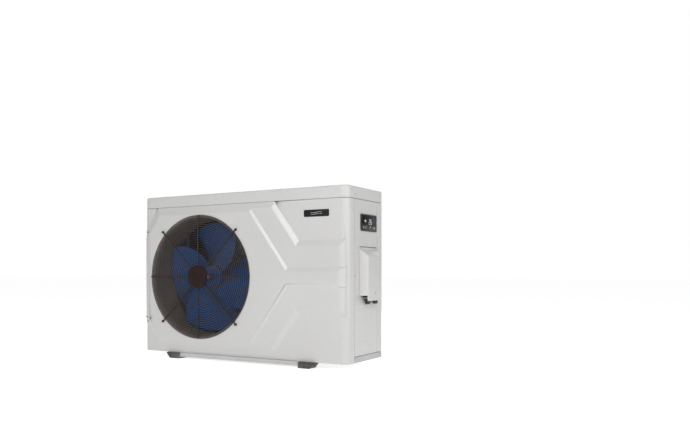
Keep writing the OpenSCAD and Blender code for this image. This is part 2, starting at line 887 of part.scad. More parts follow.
module compressor() {
  shell = 7;
  h = compressor_h;
  dome = 18;
  steps = 6;
  outer = [for (i = [0:steps])
    [compressor_r * cos(90 * i / steps), h - dome + dome * sin(90 * i / steps)]];
  inner = [for (i = [steps:-1:0])
    [(compressor_r - shell) * cos(90 * i / steps), h - dome + (dome - shell) * sin(90 * i / steps)]];
  color([0.15, 0.16, 0.17])
    translate([compressor_x, compressor_y, compressor_z0]) {
      difference() {
        cylinder(r = plate_r, h = plate_t);
        for (a = [90:120:330])
          rotate(a) translate([stud_spread, 0, -over]) cylinder(r = 5, h = plate_t + 2 * over);
      }
      translate([0, 0, plate_t])
        rotate_extrude()
          polygon(concat([[0, 0], [compressor_r, 0]], outer, inner,
                         [[compressor_r - shell, shell], [0, shell]]));
    }
}

module compressor_grommets() {
  color(dark)
    for (a = [90:120:330])
      translate([compressor_x, compressor_y, z_low + sheet])
        rotate(a) translate([stud_spread, 0, 0])
          rotate_extrude()
            polygon([[3.2, 0], [9, 0], [9, 4], [7.5, 7], [9, 10], [9, grommet_h], [3.2, grommet_h]]);
}

module compressor_nuts() {
  color(zinc)
    for (a = [90:120:330])
      translate([compressor_x, compressor_y, z_low + sheet])
        rotate(a) translate([stud_spread, 0, 0]) {
          cylinder(r = 3, h = grommet_h + plate_t + 9, $fn = 32);
          translate([0, 0, grommet_h + plate_t]) cylinder(r = 7.5, h = 6, $fn = 6);
        }
}

module accumulator() {
  color([0.15, 0.16, 0.17])
    translate([compressor_x, accumulator_y, accumulator_z0])
      rotate_extrude()
        polygon([[0, 0], [accumulator_r - 9, 0], [accumulator_r, 9],
                 [accumulator_r, accumulator_h - 9], [accumulator_r - 9, accumulator_h],
                 [0, accumulator_h], [0, accumulator_h - 4], [accumulator_r - 10, accumulator_h - 4],
                 [accumulator_r - 4, accumulator_h - 10], [accumulator_r - 4, 10],
                 [accumulator_r - 10, 4], [0, 4]]);
}

module exchanger_vessel() {
  inner_r = vessel_r - vessel_wall;
  color([0.2, 0.2, 0.21])
    difference() {
      translate([vessel_x, vessel_y, vessel_z0]) cylinder(r = vessel_r, h = vessel_h);
      translate([vessel_x, vessel_y, vessel_z0 + vessel_wall]) cylinder(r = inner_r, h = vessel_h);
      for (z = [inlet_z, outlet_z])
        translate([vessel_x, 0, z]) bar_y(tail_r + 0.05, vessel_y, vessel_y + vessel_r + over);
      translate([0, line_y, line_z]) bar_x(tube_r + 0.05, vessel_x - vessel_r, vessel_x);
      translate([0, vessel_y - 30, gas_z]) bar_x(tube_r + 0.05, vessel_x - vessel_r, vessel_x);
    }
}

module exchanger_lid() {
  color([0.2, 0.2, 0.21])
    translate([vessel_x, vessel_y, vessel_z1])
      difference() {
        union() {
          cylinder(r = vessel_r + 5, h = lid_h);
          for (a = [0:30:330])
            rotate(a) translate([vessel_r + 3, 0, 0]) cylinder(r = 5, h = lid_h, $fn = 32);
        }
        translate([0, 0, -over]) cylinder(r = vessel_r - vessel_wall, h = lid_h - 5 + over);
      }
}

exchanger_tube_r = 7;

module exchanger_coil() {
  turns = 14;
  pitch = (vessel_h - 120) / turns;
  color(zinc)
    for (i = [0:turns - 1])
      translate([vessel_x, vessel_y, vessel_z0 + 40 + i * pitch])
        rotate_extrude($fn = 64) translate([34, 0]) circle(r = exchanger_tube_r, $fn = 32);
}

// A water connection: a tube out of the vessel with a collar that the nut pulls on
module tailpiece(z) {
  color([0.2, 0.2, 0.21])
    translate([vessel_x, 0, z])
      difference() {
        union() {
          bar_y(tail_r, vessel_y + vessel_r - 12, y_collar + collar_t);
          bar_y(collar_r, y_collar, y_collar + collar_t);
        }
        bar_y(pipe_r, vessel_y, y_collar + collar_t + over);
      }
}

module inlet_tailpiece() tailpiece(inlet_z);

module outlet_tailpiece() tailpiece(outlet_z);

module union_nut(z) {
  lip_r = tail_r + clear;
  y0 = y_collar - clear - nut_lip;
  rib = 2.5;
  color([0.3, 0.3, 0.32])
    translate([vessel_x, 0, z])
      difference() {
        union() {
          bar_y(union_nut_r - rib, y0, y0 + union_nut_len);
          for (a = [0:30:330])
            rotate([0, a, 0]) translate([union_nut_r - rib, 0, 0]) bar_y(4, y0 + 3, y0 + union_nut_len - 3);
        }
        bar_y(lip_r, y0 - over, y0 + nut_lip + over);
        bar_y(collar_r + clear, y0 + nut_lip, y0 + union_nut_len + over);
      }
}

module inlet_union_nut() union_nut(inlet_z);

module outlet_union_nut() union_nut(outlet_z);

module union_seals() {
  color(dark)
    for (z = [inlet_z, outlet_z])
      translate([vessel_x, 0, z])
        difference() {
          bar_y(collar_r - 1, y_collar + collar_t, y_collar + collar_t + 2.5);
          bar_y(pipe_r + 1, y_collar, y_collar + collar_t + 4);
        }
}

module flow_switch() {
  color(dark)
    translate([vessel_x, vessel_y, vessel_z1 + lid_h]) {
      cylinder(r = 16, h = 5, $fn = 6);
      translate([0, 0, 5]) cylinder(r = 12, h = 14);
    }
}

module four_way_valve() {
  y1 = valve_y0 + 100;
  color([0.8, 0.65, 0.35])
    translate([compressor_x, 0, valve_z]) {
      bar_y(valve_r, valve_y0, y1);
      translate([0, valve_y0 + 50, -26]) cylinder(r = tube_r + 2, h = 26, $fn = 48);
      for (y = [12, 50, 88])
        translate([0, valve_y0 + y, 0]) cylinder(r = tube_r + 2, h = 26, $fn = 48);
    }
}

module discharge_pipe() {
  color(copper) {
    pipe_run([[compressor_x, compressor_y, compressor_z1],
              [compressor_x, compressor_y, compressor_z1 + 22],
              [compressor_x, valve_y0 + 50, compressor_z1 + 22],
              [compressor_x, valve_y0 + 50, valve_z - 26]], tube_r, 12);
    pipe_run([[compressor_x, valve_y0 + 12, valve_z + 26],
              [compressor_x, valve_y0 + 12, gas_z],
              [wall_x - 16, valve_y0 + 12, gas_z]], tube_r, tube_bend);
    pipe_run([[compressor_x, valve_y0 + 88, valve_z + 26],
              [compressor_x, valve_y0 + 88, gas_z],
              [compressor_x + 26, valve_y0 + 88, gas_z]], tube_r, tube_bend);
    pipe_run([[compressor_x + 26, valve_y0 + 88, gas_z],
              [compressor_x + 50, valve_y0 + 88, gas_z],
              [compressor_x + 50, vessel_y - 30, gas_z],
              [vessel_x - vessel_r + 14, vessel_y - 30, gas_z]], tube_r, 8);
  }
}

module suction_pipe() {
  top = gas_z + 26;
  side_x = compressor_x - 46;
  color(copper)
    pipe_run([[compressor_x, valve_y0 + 50, valve_z + 26],
              [compressor_x, valve_y0 + 50, top],
              [side_x, valve_y0 + 50, top],
              [side_x, accumulator_y, top],
              [side_x, accumulator_y, accumulator_z1 + 30],
              [compressor_x, accumulator_y, accumulator_z1 + 30],
              [compressor_x, accumulator_y, accumulator_z1]], tube_r, 14);
}

drier_x1 = vessel_x - vessel_r;
drier_l = 48;
expansion_x1 = drier_x1 - drier_l - 30;

module filter_drier() {
  r = 12;
  color(copper)
    translate([0, line_y, line_z]) rotate([0, 90, 0])
      rotate_extrude()
        polygon([[0, drier_x1 - drier_l], [tube_r + 2, drier_x1 - drier_l],
                 [r, drier_x1 - drier_l + 10], [r, drier_x1 - 10], [tube_r + 2, drier_x1], [0, drier_x1]]);
}

module expansion_valve() {
  color([0.8, 0.65, 0.35])
    translate([0, line_y, line_z]) {
      bar_x(9, expansion_x1 - 30, expansion_x1);
      translate([expansion_x1 - 15, 0, 0]) cylinder(r = 7, h = 20, $fn = 48);
      translate([expansion_x1 - 15, 0, 20]) cylinder(r = 14, h = 28);
    }
}

module liquid_pipe() {
  color(copper)
    translate([0, line_y, line_z]) {
      bar_x(tube_r, drier_x1, drier_x1 + 16);
      bar_x(tube_r, expansion_x1, drier_x1 - drier_l);
      bar_x(tube_r, wall_x - 16, expansion_x1 - 30);
    }
}

// ---- Controls ----

module control_box() {
  color(zinc) {
    difference() {
      block([box_x0, box_y0, box_z0], [box_x1, box_y1, box_z1]);
      block([box_x0 + sheet, box_y0 + sheet, box_z0 + sheet],
            [box_x1 - sheet, box_y1 - sheet, box_z1 + over]);
    }
    block([wall_x, box_y0 + 10, box_z1 - sheet], [box_x0, box_y1 - 10, box_z1]);
  }
}

board_z = box_z0 + sheet + 8;
capacitor_r = 17;

module control_board() {
  x0 = box_x0 + 14;
  x1 = box_x1 - 2 * capacitor_r - 22;
  y0 = box_y0 + 10;
  y1 = box_y1 - 10;
  color([0.1, 0.35, 0.2]) {
    block([x0, y0, board_z], [x1, y1, board_z + 1.6]);
    for (sx = [x0 + 6, x1 - 6], sy = [y0 + 6, y1 - 6])
      translate([sx, sy, box_z0 + sheet]) cylinder(r = 3, h = 8, $fn = 32);
    for (i = [0:3])
      translate([x0 + 22 + i * 26, y0 + 20, board_z + 1.6]) cube([18, 15, 16]);
    for (i = [0:2])
      translate([x0 + 40 + i * 34, y1 - 26, board_z + 1.6]) cylinder(r = 9, h = 26, $fn = 48);
    translate([x0 + 20, y0 + 52, board_z + 1.6]) cube([40, 26, 22]);
  }
}

module run_capacitor() {
  color([0.75, 0.76, 0.78])
    translate([box_x1 - capacitor_r - 10, box_y0 + 40, box_z0 + sheet]) {
      cylinder(r = capacitor_r, h = 62);
      for (sx = [-6, 6]) translate([sx - 3, -0.5, 62]) cube([6, 1, 9]);
    }
}

module heat_sink() {
  fins = 14;
  depth = 34;
  pitch = 7;
  points = concat(
    [[0, 0]],
    [for (i = [0:fins - 1]) each [[i * pitch, depth], [i * pitch + 2, depth],
                                  [i * pitch + 2, 5], [(i + 1) * pitch, 5]]],
    [[fins * pitch, depth], [fins * pitch + 2, depth], [fins * pitch + 2, 0]]
  );
  color([0.7, 0.71, 0.73])
    translate([wall_x - sheet, box_y0 + 20, box_z0 + 12]) rotate([0, 0, 90])
      linear_extrude(box_z1 - box_z0 - 30) polygon(points);
}

tray_d = 34;

module terminal_tray() {
  y0 = controls_y - window_l / 2;
  y1 = controls_y + window_l / 2;
  x0 = x_right - sheet - tray_d;
  color(zinc)
    difference() {
      union() {
        block([x0, y0, window_z0], [x_right - sheet, y1, window_z1]);
        block([x_right - 2 * sheet, y0 - 10, window_z0 - 10], [x_right - sheet, y1 + 10, window_z1 + 10]);
      }
      block([x0 + sheet, y0 + sheet, window_z0 + sheet], [x_right + over, y1 - sheet, window_z1 - sheet]);
    }
}

module terminal_block() {
  poles = 5;
  pitch = 15;
  x0 = x_right - 2 * sheet - tray_d + 2 * sheet;
  z0 = (window_z0 + window_z1) / 2 - poles * pitch / 2;
  color([0.85, 0.84, 0.8])
    difference() {
      union() {
        block([x0, controls_y - 22, z0], [x0 + 10, controls_y + 22, z0 + poles * pitch]);
        for (i = [0:poles])
          block([x0, controls_y - 22, z0 + i * pitch - 1], [x0 + 20, controls_y + 22, z0 + i * pitch + 1]);
      }
      for (i = [0:poles - 1], s = [-1, 1])
        translate([0, controls_y + s * 11, z0 + (i + 0.5) * pitch]) bar_x(3, x0 + 6, x0 + 10 + over);
    }
}

cover_wall = 1.6;
cover_x0 = x_right + clear;
cover_x1 = x_right + cover_out;

// The terminal cover's body drawn in by g on every closed side
module cover_body(g) {
  l = cover_l / 2 - g;
  m = l - cover_slope;
  x0 = g > 0 ? cover_x0 - over : cover_x0;
  x1 = cover_x1 - g;
  z0 = g > 0 ? cover_z0 - over : cover_z0;
  za = cover_z1 - g;
  zb = cover_face_z1 - g;
  points = [
    [x0, controls_y - l, z0], [x0, controls_y + l, z0], [x0, controls_y + l, za], [x0, controls_y - l, za],
    [x1, controls_y - m, z0], [x1, controls_y + m, z0], [x1, controls_y + m, zb], [x1, controls_y - m, zb]
  ];
  polyhedron(points, [[0, 1, 2, 3], [7, 6, 5, 4], [0, 4, 5, 1], [1, 5, 6, 2], [2, 6, 7, 3], [3, 7, 4, 0]]);
}

cover_boss_z = cover_z0 + 26;
tongue_in = 4;

module terminal_cover() {
  l = slot_l - 2;
  color(white)
    difference() {
      union() {
        difference() {
          cover_body(0);
          cover_body(cover_wall);
        }
        block([cover_x0, controls_y - l / 2, cover_z1 - 2],
              [cover_x0 + cover_wall, controls_y + l / 2, hinge_z + 0.8]);
        block([x_right - tongue_in, controls_y - l / 2, hinge_z - 0.8],
              [cover_x0 + cover_wall, controls_y + l / 2, hinge_z + 0.8]);
        translate([0, controls_y, cover_boss_z]) bar_x(5, cover_x0, cover_x1 - cover_wall / 2);
      }
      translate([0, controls_y, cover_boss_z]) bar_x(screw_r + 0.3, x_right, cover_x1 + over);
      block([cover_x0 - over, controls_y - cover_l / 2 - over, cover_z0 - over],
            [cover_x1 - 3, controls_y - cover_l / 2 + cover_slope + 3, cover_z0 + 18]);
    }
}

module cover_screw() {
  color(zinc)
    translate([cover_x1, controls_y, cover_boss_z]) rotate([0, 90, 0])
      screw(screw_r, cover_out + 5, 4.5, 2);
}

gland_x = x_right + 13;
gland_gap = 60;
gland_bore_r = 5.5;
shelf_z = cover_z0 + 9;

module gland_places() {
  for (s = [-1, 1]) translate([gland_x, controls_y - 2 + s * gland_gap / 2, 0]) children();
}

module gland_shelf() {
  y0 = controls_y - 2 - gland_gap / 2 - 17;
  y1 = controls_y - 2 + gland_gap / 2 + 17;
  color(zinc)
    difference() {
      union() {
        block([x_right, y0, shelf_z], [x_right + cover_out - 3.5, y1, shelf_z + 2]);
        block([x_right, y0, shelf_z], [x_right + 1.5, controls_y - 8, shelf_z + 22]);
        block([x_right, controls_y + 8, shelf_z], [x_right + 1.5, y1, shelf_z + 22]);
      }
      gland_places() translate([0, 0, shelf_z - over]) cylinder(r = 8.1, h = 2 + 2 * over);
    }
}

module cable_glands() {
  low = cover_z0 - 12;
  color(dark)
    gland_places()
      difference() {
        union() {
          translate([0, 0, low])
            rotate_extrude()
              polygon([[0, 0], [gland_bore_r + 1, 0], [gland_r - 1, 5], [gland_r - 1, 12], [0, 12]]);
          translate([0, 0, low + 12]) cylinder(r = gland_r, h = shelf_z - low - 12, $fn = 6);
          translate([0, 0, shelf_z - eps]) cylinder(r = 8, h = 14);
          translate([0, 0, shelf_z + 2]) cylinder(r = gland_r, h = 5, $fn = 6);
        }
        translate([0, 0, low - over]) cylinder(r = gland_bore_r, h = 60);
      }
}

module display_housing() {
  rim = 5;
  color(dark)
    difference() {
      union() {
        block([x_right, controls_y - display_l / 2, display_z - display_h / 2],
              [x_right + 3, controls_y + display_l / 2, display_z + display_h / 2]);
        block([x_right - 22, controls_y - display_l / 2 + rim + 0.2, display_z - display_h / 2 + rim + 0.2],
              [x_right, controls_y + display_l / 2 - rim - 0.2, display_z + display_h / 2 - rim - 0.2]);
      }
      block([x_right + 1.2, controls_y - display_l / 2 + 3, display_z - display_h / 2 + 3],
            [x_right + 4, controls_y + display_l / 2 - 3, display_z + display_h / 2 - 3]);
    }
}

module display_glass() {
  color([0.05, 0.05, 0.07])
    block([x_right + 1.2, controls_y - display_l / 2 + 3, display_z - display_h / 2 + 3],
          [x_right + 2.8, controls_y + display_l / 2 - 3, display_z + display_h / 2 - 3]);
}

base_pan();
base_rails();
rubber_feet();
front_panel();
fan_duct();
fan_grille();
grille_disc();
grille_screws();
top_cover();
right_side_panel();
rear_panel();
rear_left_post();
left_guard();
rear_guard();
coil_fins_rear();
coil_fins_left();
coil_return_bends();
coil_end_plates();
partition_panel();
motor_bracket();
fan_motor();
fan_shaft();
fan_hub();
fan_blades();
fan_nut();
compressor();
accumulator();
compressor_grommets();
compressor_nuts();
exchanger_vessel();
exchanger_lid();
exchanger_coil();
inlet_tailpiece();
outlet_tailpiece();
inlet_union_nut();
outlet_union_nut();
union_seals();
flow_switch();
four_way_valve();
expansion_valve();
filter_drier();
discharge_pipe();
suction_pipe();
liquid_pipe();
control_box();
control_board();
heat_sink();
run_capacitor();
terminal_tray();
terminal_block();
terminal_cover();
cover_screw();
gland_shelf();
cable_glands();
display_housing();
display_glass();
name_plate();
drain_nipple();
panel_screws();
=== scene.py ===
import math

import bmesh
import bpy
from mathutils import Matrix, Vector


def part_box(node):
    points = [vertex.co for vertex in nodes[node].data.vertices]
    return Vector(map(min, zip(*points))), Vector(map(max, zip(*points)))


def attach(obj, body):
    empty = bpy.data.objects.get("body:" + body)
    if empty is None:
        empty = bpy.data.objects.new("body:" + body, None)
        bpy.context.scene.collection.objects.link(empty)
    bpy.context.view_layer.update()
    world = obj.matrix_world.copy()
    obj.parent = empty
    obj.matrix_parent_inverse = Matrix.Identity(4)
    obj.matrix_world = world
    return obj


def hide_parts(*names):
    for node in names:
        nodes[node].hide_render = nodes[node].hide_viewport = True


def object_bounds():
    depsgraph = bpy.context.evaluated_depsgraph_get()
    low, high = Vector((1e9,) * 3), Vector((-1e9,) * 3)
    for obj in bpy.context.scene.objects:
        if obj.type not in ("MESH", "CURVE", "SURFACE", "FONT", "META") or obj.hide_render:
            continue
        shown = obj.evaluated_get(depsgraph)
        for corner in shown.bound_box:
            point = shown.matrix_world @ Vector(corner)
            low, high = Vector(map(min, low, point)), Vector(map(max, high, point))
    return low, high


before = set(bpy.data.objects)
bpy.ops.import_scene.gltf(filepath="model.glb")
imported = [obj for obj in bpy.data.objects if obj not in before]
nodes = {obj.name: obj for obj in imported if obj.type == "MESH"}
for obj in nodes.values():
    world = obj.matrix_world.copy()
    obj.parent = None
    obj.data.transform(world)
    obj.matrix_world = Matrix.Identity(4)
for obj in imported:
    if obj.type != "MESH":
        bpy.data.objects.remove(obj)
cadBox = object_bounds()
near = 0.0001  # how close counts as the same place, in metres
square = 0.999  # how far along an axis counts as facing it
print("frame loaded:", len(nodes), "nodes")


# helpers for modelling
def clearSelection():
    bpy.ops.object.select_all(action="DESELECT")


def takeUp(piece):
    clearSelection()
    piece.select_set(True)
    bpy.context.view_layer.objects.active = piece


def settle(piece):
    # puts the piece's place into its mesh
    takeUp(piece)
    bpy.ops.object.transform_apply(location=True, rotation=True, scale=True)
    return piece


def named(name):
    piece = bpy.context.active_object
    piece.name = name
    piece.data.name = name
    return settle(piece)


def block(name, low, high):
    clearSelection()
    low, high = Vector(low), Vector(high)
    bpy.ops.mesh.primitive_cube_add(size=1, location=(low + high) / 2, scale=high - low)
    return named(name)


def turnTo(direction):
    return Vector((0, 0, 1)).rotation_difference(Vector(direction).normalized()).to_euler()


def rod(name, start, end, radius, sides=32):
    clearSelection()
    start, end = Vector(start), Vector(end)
    bpy.ops.mesh.primitive_cylinder_add(
        vertices=sides, radius=radius, depth=(end - start).length,
        location=(start + end) / 2, rotation=turnTo(end - start))
    return named(name)


def ring(name, centre, direction, radius, wire, around=96, across=8):
    clearSelection()
    bpy.ops.mesh.primitive_torus_add(
        major_radius=radius, minor_radius=wire, major_segments=around,
        minor_segments=across, location=centre, rotation=turnTo(direction))
    return named(name)


def pick(piece, kind, test):
    # selects the verts, edges or faces that pass a test, in edit mode
    bpy.ops.mesh.select_all(action="DESELECT")
    mesh = bmesh.from_edit_mesh(piece.data)
    mesh.normal_update()
    for part in getattr(mesh, kind):
        if test(part):
            part.select_set(True)
    mesh.select_flush_mode()
    bmesh.update_edit_mesh(piece.data)


def edit(piece, mode="FACE"):
    takeUp(piece)
    bpy.ops.object.mode_set(mode="EDIT")
    bpy.ops.mesh.select_mode(type=mode)


def done():
    bpy.ops.object.mode_set(mode="OBJECT")


def middle(edge):
    return (edge.verts[0].co + edge.verts[1].co) / 2


def upright(edge):
    run = edge.verts[1].co - edge.verts[0].co
    return abs(run.z) > square * run.length


def modify(piece, kind, **values):
    takeUp(piece)
    modifier = piece.modifiers.new(kind.title(), kind)
    for key, value in values.items():
        setattr(modifier, key, value)
    bpy.ops.object.modifier_apply(modifier=modifier.name)
    return piece


def soften(piece, width, segments=3, angle=30, clamp=True):
    return modify(piece, "BEVEL", width=width, segments=segments, limit_method="ANGLE",
                  angle_limit=math.radians(angle), use_clamp_overlap=clamp)


def smooth(piece, angle=30):
    takeUp(piece)
    bpy.ops.object.shade_smooth_by_angle(angle=math.radians(angle))
    return piece


def join(name, pieces):
    clearSelection()
    for piece in pieces:
        piece.select_set(True)
    bpy.context.view_layer.objects.active = pieces[0]
    if len(pieces) > 1:
        bpy.ops.object.join()
    return named(name)


def copyOf(name, node):
    piece = nodes[node].copy()
    piece.data = nodes[node].data.copy()
    for key in list(piece.keys()):
        del piece[key]
    piece.parent = None
    piece.matrix_world = Matrix.Identity(4)
    piece.name = name
    piece.data.name = name
    piece.data.materials.clear()
    bpy.context.scene.collection.objects.link(piece)
    piece.hide_render = False
    edit(piece, "VERT")
    bpy.ops.mesh.customdata_custom_splitnormals_clear()
    bpy.ops.mesh.select_all(action="SELECT")
    bpy.ops.mesh.remove_doubles(threshold=near / 10)
    done()
    return piece


def place(piece, at, direction=(0, 0, 1)):
    # sets a piece that was modelled at the origin along Z to its place
    piece.data.transform(turnTo(direction).to_matrix().to_4x4())
    piece.data.transform(Matrix.Translation(Vector(at)))
    return piece


def twin(piece, name):
    other = piece.copy()
    other.data = piece.data.copy()
    other.name = name
    bpy.context.scene.collection.objects.link(other)
    return other


def cut(piece, tool):
    modify(piece, "BOOLEAN", object=tool, operation="DIFFERENCE", solver="EXACT")
    bpy.data.objects.remove(tool)
    return piece


# helpers for materials
def put(tree, kind, inputs=None, **settings):
    node = tree.nodes.new("ShaderNode" + kind)
    for key, value in settings.items():
        setattr(node, key, value)
    for key, value in (inputs or {}).items():
        socket = node.inputs[key]
        if isinstance(value, bpy.types.NodeSocket):
            tree.links.new(value, socket)
        else:
            socket.default_value = value
    return node


def newGroup(name, takes, gives):
    tree = bpy.data.node_groups.new(name, "ShaderNodeTree")
    for label, value in takes.items():
        kind = "NodeSocketColor" if isinstance(value, tuple) else "NodeSocketFloat"
        tree.interface.new_socket(name=label, in_out="INPUT", socket_type=kind).default_value = value
    for label, kind in gives.items():
        tree.interface.new_socket(name=label, in_out="OUTPUT", socket_type="NodeSocket" + kind)
    return tree, tree.nodes.new("NodeGroupInput").outputs, tree.nodes.new("NodeGroupOutput").inputs


def spread(tree, value, low, high, toLow=0.0, toHigh=1.0):
    return put(tree, "MapRange", {"Value": value, "From Min": low, "From Max": high,
                                  "To Min": toLow, "To Max": toHigh}).outputs["Result"]


def combine(tree, operation, first, second):
    return put(tree, "Math", {0: first, 1: second}, operation=operation).outputs[0]


def blendTones(tree, amount, first, second):
    return put(tree, "Mix", {"Factor": amount, 6: first, 7: second}, data_type="RGBA").outputs[2]


def objectPoint(tree, scale=(1, 1, 1)):
    point = put(tree, "TexCoord").outputs["Object"]
    if scale == (1, 1, 1):
        return point
    return put(tree, "Mapping", {"Vector": point, "Scale": scale}).outputs["Vector"]


def makePatchyTone():
    # two tones in soft patches, with a finer mottle inside them
    tree, takes, gives = newGroup("patchyTone", {
        "First": (0.5, 0.5, 0.5, 1), "Second": (0.4, 0.4, 0.4, 1), "Scale": 6.0}, {"Tone": "Color"})
    point = objectPoint(tree)
    broad = put(tree, "TexNoise", {"Vector": point, "Scale": takes["Scale"], "Detail": 3.0})
    fineScale = combine(tree, "MULTIPLY", takes["Scale"], 17.0)
    fine = put(tree, "TexNoise", {"Vector": point, "Scale": fineScale, "Detail": 2.0})
    both = combine(tree, "ADD", spread(tree, broad.outputs["Fac"], 0.35, 0.65, 0, 0.7),
                   spread(tree, fine.outputs["Fac"], 0.3, 0.7, 0, 0.3))
    tree.links.new(blendTones(tree, both, takes["First"], takes["Second"]), gives["Tone"])
    return tree


def makePeelGrain():
    # the shallow dimples of baked paint, over a fine speckle
    tree, takes, gives = newGroup("peelGrain", {"Scale": 320.0}, {"Height": "Float", "Shade": "Float"})
    point = objectPoint(tree)
    dimples = put(tree, "TexVoronoi", {"Vector": point, "Scale": takes["Scale"]}, feature="SMOOTH_F1")
    fineScale = combine(tree, "MULTIPLY", takes["Scale"], 2.7)
    speckle = put(tree, "TexNoise", {"Vector": point, "Scale": fineScale, "Detail": 2.0})
    height = combine(tree, "ADD", spread(tree, dimples.outputs["Distance"], 0, 0.8, 0, 0.7),
                     spread(tree, speckle.outputs["Fac"], 0.3, 0.7, 0, 0.3))
    tree.links.new(height, gives["Height"])
    tree.links.new(speckle.outputs["Fac"], gives["Shade"])
    return tree


def makeSparkGrain():
    # the even spark-eroded texture of moulded plastic
    tree, takes, gives = newGroup("sparkGrain", {"Scale": 900.0}, {"Height": "Float", "Shade": "Float"})
    point = objectPoint(tree)
    pits = put(tree, "TexNoise", {"Vector": point, "Scale": takes["Scale"], "Detail": 3.0,
                                  "Roughness": 0.7})
    flowScale = combine(tree, "MULTIPLY", takes["Scale"], 0.03)
    flow = put(tree, "TexNoise", {"Vector": point, "Scale": flowScale, "Detail": 2.0, "Distortion": 1.5})
    tree.links.new(pits.outputs["Fac"], gives["Height"])
    tree.links.new(flow.outputs["Fac"], gives["Shade"])
    return tree


def makeDrawnLines():
    # fine lines along one way, as on rolled or drawn metal
    tree, takes, gives = newGroup("drawnLines", {"Scale": 500.0}, {"Height": "Float", "Shade": "Float"})
    point = objectPoint(tree, (1, 1, 0.03))
    lines = put(tree, "TexNoise", {"Vector": point, "Scale": takes["Scale"], "Detail": 2.0})
    cloudScale = combine(tree, "MULTIPLY", takes["Scale"], 0.04)
    cloud = put(tree, "TexNoise", {"Vector": objectPoint(tree), "Scale": cloudScale, "Detail": 3.0})
    tree.links.new(lines.outputs["Fac"], gives["Height"])
    tree.links.new(cloud.outputs["Fac"], gives["Shade"])
    return tree


def makeSpangle():
    # the crystal flakes of hot-dip zinc
    tree, takes, gives = newGroup("spangle", {"Scale": 110.0}, {"Height": "Float", "Shade": "Float"})
    point = objectPoint(tree)
    flakes = put(tree, "TexVoronoi", {"Vector": point, "Scale": takes["Scale"]})
    tone = put(tree, "SeparateColor", {"Color": flakes.outputs["Color"]}).outputs["Red"]
    fineScale = combine(tree, "MULTIPLY", takes["Scale"], 9.0)
    fine = put(tree, "TexNoise", {"Vector": point, "Scale": fineScale, "Detail": 2.0})
    tree.links.new(combine(tree, "ADD", combine(tree, "MULTIPLY", tone, 0.5), fine.outputs["Fac"]),
                   gives["Height"])
    tree.links.new(tone, gives["Shade"])
    return tree


def makeEdgeRub():
    # finds the edges, broken up as handling leaves them, and rounds their shading
    tree, takes, gives = newGroup("edgeRub", {"Width": 0.002, "Amount": 0.3},
                                  {"Mask": "Float", "Rounded": "Vector"})
    rounded = put(tree, "Bevel", {"Radius": takes["Width"]}, samples=4).outputs["Normal"]
    flat = put(tree, "NewGeometry").outputs["Normal"]
    match = put(tree, "VectorMath", {0: rounded, 1: flat}, operation="DOT_PRODUCT").outputs["Value"]
    edge = spread(tree, match, 0.97, 0.8)
    chips = put(tree, "TexNoise", {"Vector": objectPoint(tree), "Scale": 60.0, "Detail": 4.0})
    broken = spread(tree, chips.outputs["Fac"], 0.45, 0.65)
    mask = combine(tree, "MULTIPLY", combine(tree, "MULTIPLY", edge, broken), takes["Amount"])
    tree.links.new(mask, gives["Mask"])
    tree.links.new(rounded, gives["Rounded"])
    return tree


def makeSettledDust():
    # dust that lies on what faces up, with splashes low down and faint runs of rain
    tree, takes, gives = newGroup("settledDust", {"Amount": 0.3, "Reach": 0.12}, {"Mask": "Float"})
    point = objectPoint(tree)
    height = put(tree, "SeparateXYZ", {"Vector": point}).outputs["Z"]
    facing = put(tree, "SeparateXYZ", {"Vector": put(tree, "NewGeometry").outputs["Normal"]}).outputs["Z"]
    cloud = put(tree, "TexNoise", {"Vector": point, "Scale": 14.0, "Detail": 5.0, "Roughness": 0.65})
    runs = put(tree, "TexNoise", {"Vector": objectPoint(tree, (1, 1, 0.05)), "Scale": 70.0, "Detail": 3.0})
    lying = combine(tree, "MULTIPLY", spread(tree, facing, 0.3, 0.95),
                    spread(tree, cloud.outputs["Fac"], 0.35, 0.7))
    low = put(tree, "MapRange", {"Value": height, "From Min": takes["Reach"], "From Max": 0.0})
    splashed = combine(tree, "MULTIPLY", low.outputs["Result"],
                       spread(tree, cloud.outputs["Fac"], 0.4, 0.62))
    streaks = spread(tree, runs.outputs["Fac"], 0.56, 0.75, 0, 0.25)
    mask = combine(tree, "ADD", combine(tree, "MAXIMUM", lying, splashed), streaks)
    tree.links.new(combine(tree, "MULTIPLY", mask, takes["Amount"]), gives["Mask"])
    return tree


shared = {
    "patchyTone": makePatchyTone(), "peelGrain": makePeelGrain(), "sparkGrain": makeSparkGrain(),
    "drawnLines": makeDrawnLines(), "spangle": makeSpangle(), "edgeRub": makeEdgeRub(),
    "settledDust": makeSettledDust()}
print("shared shader groups built")


def useGroup(tree, name, **inputs):
    node = tree.nodes.new("ShaderNodeGroup")
    node.node_tree = shared[name]
    for key, value in inputs.items():
        node.inputs[key].default_value = value
    return node.outputs


def rgb(red, green, blue):
    return (red, green, blue, 1.0)


# what a finish has where its own look says nothing
plainLook = {"fleck": 0.1, "reach": 0.12, "metal": 0.0, "coat": 0.0, "gloss": 0.5,
             "dustTone": rgb(0.42, 0.38, 0.32)}


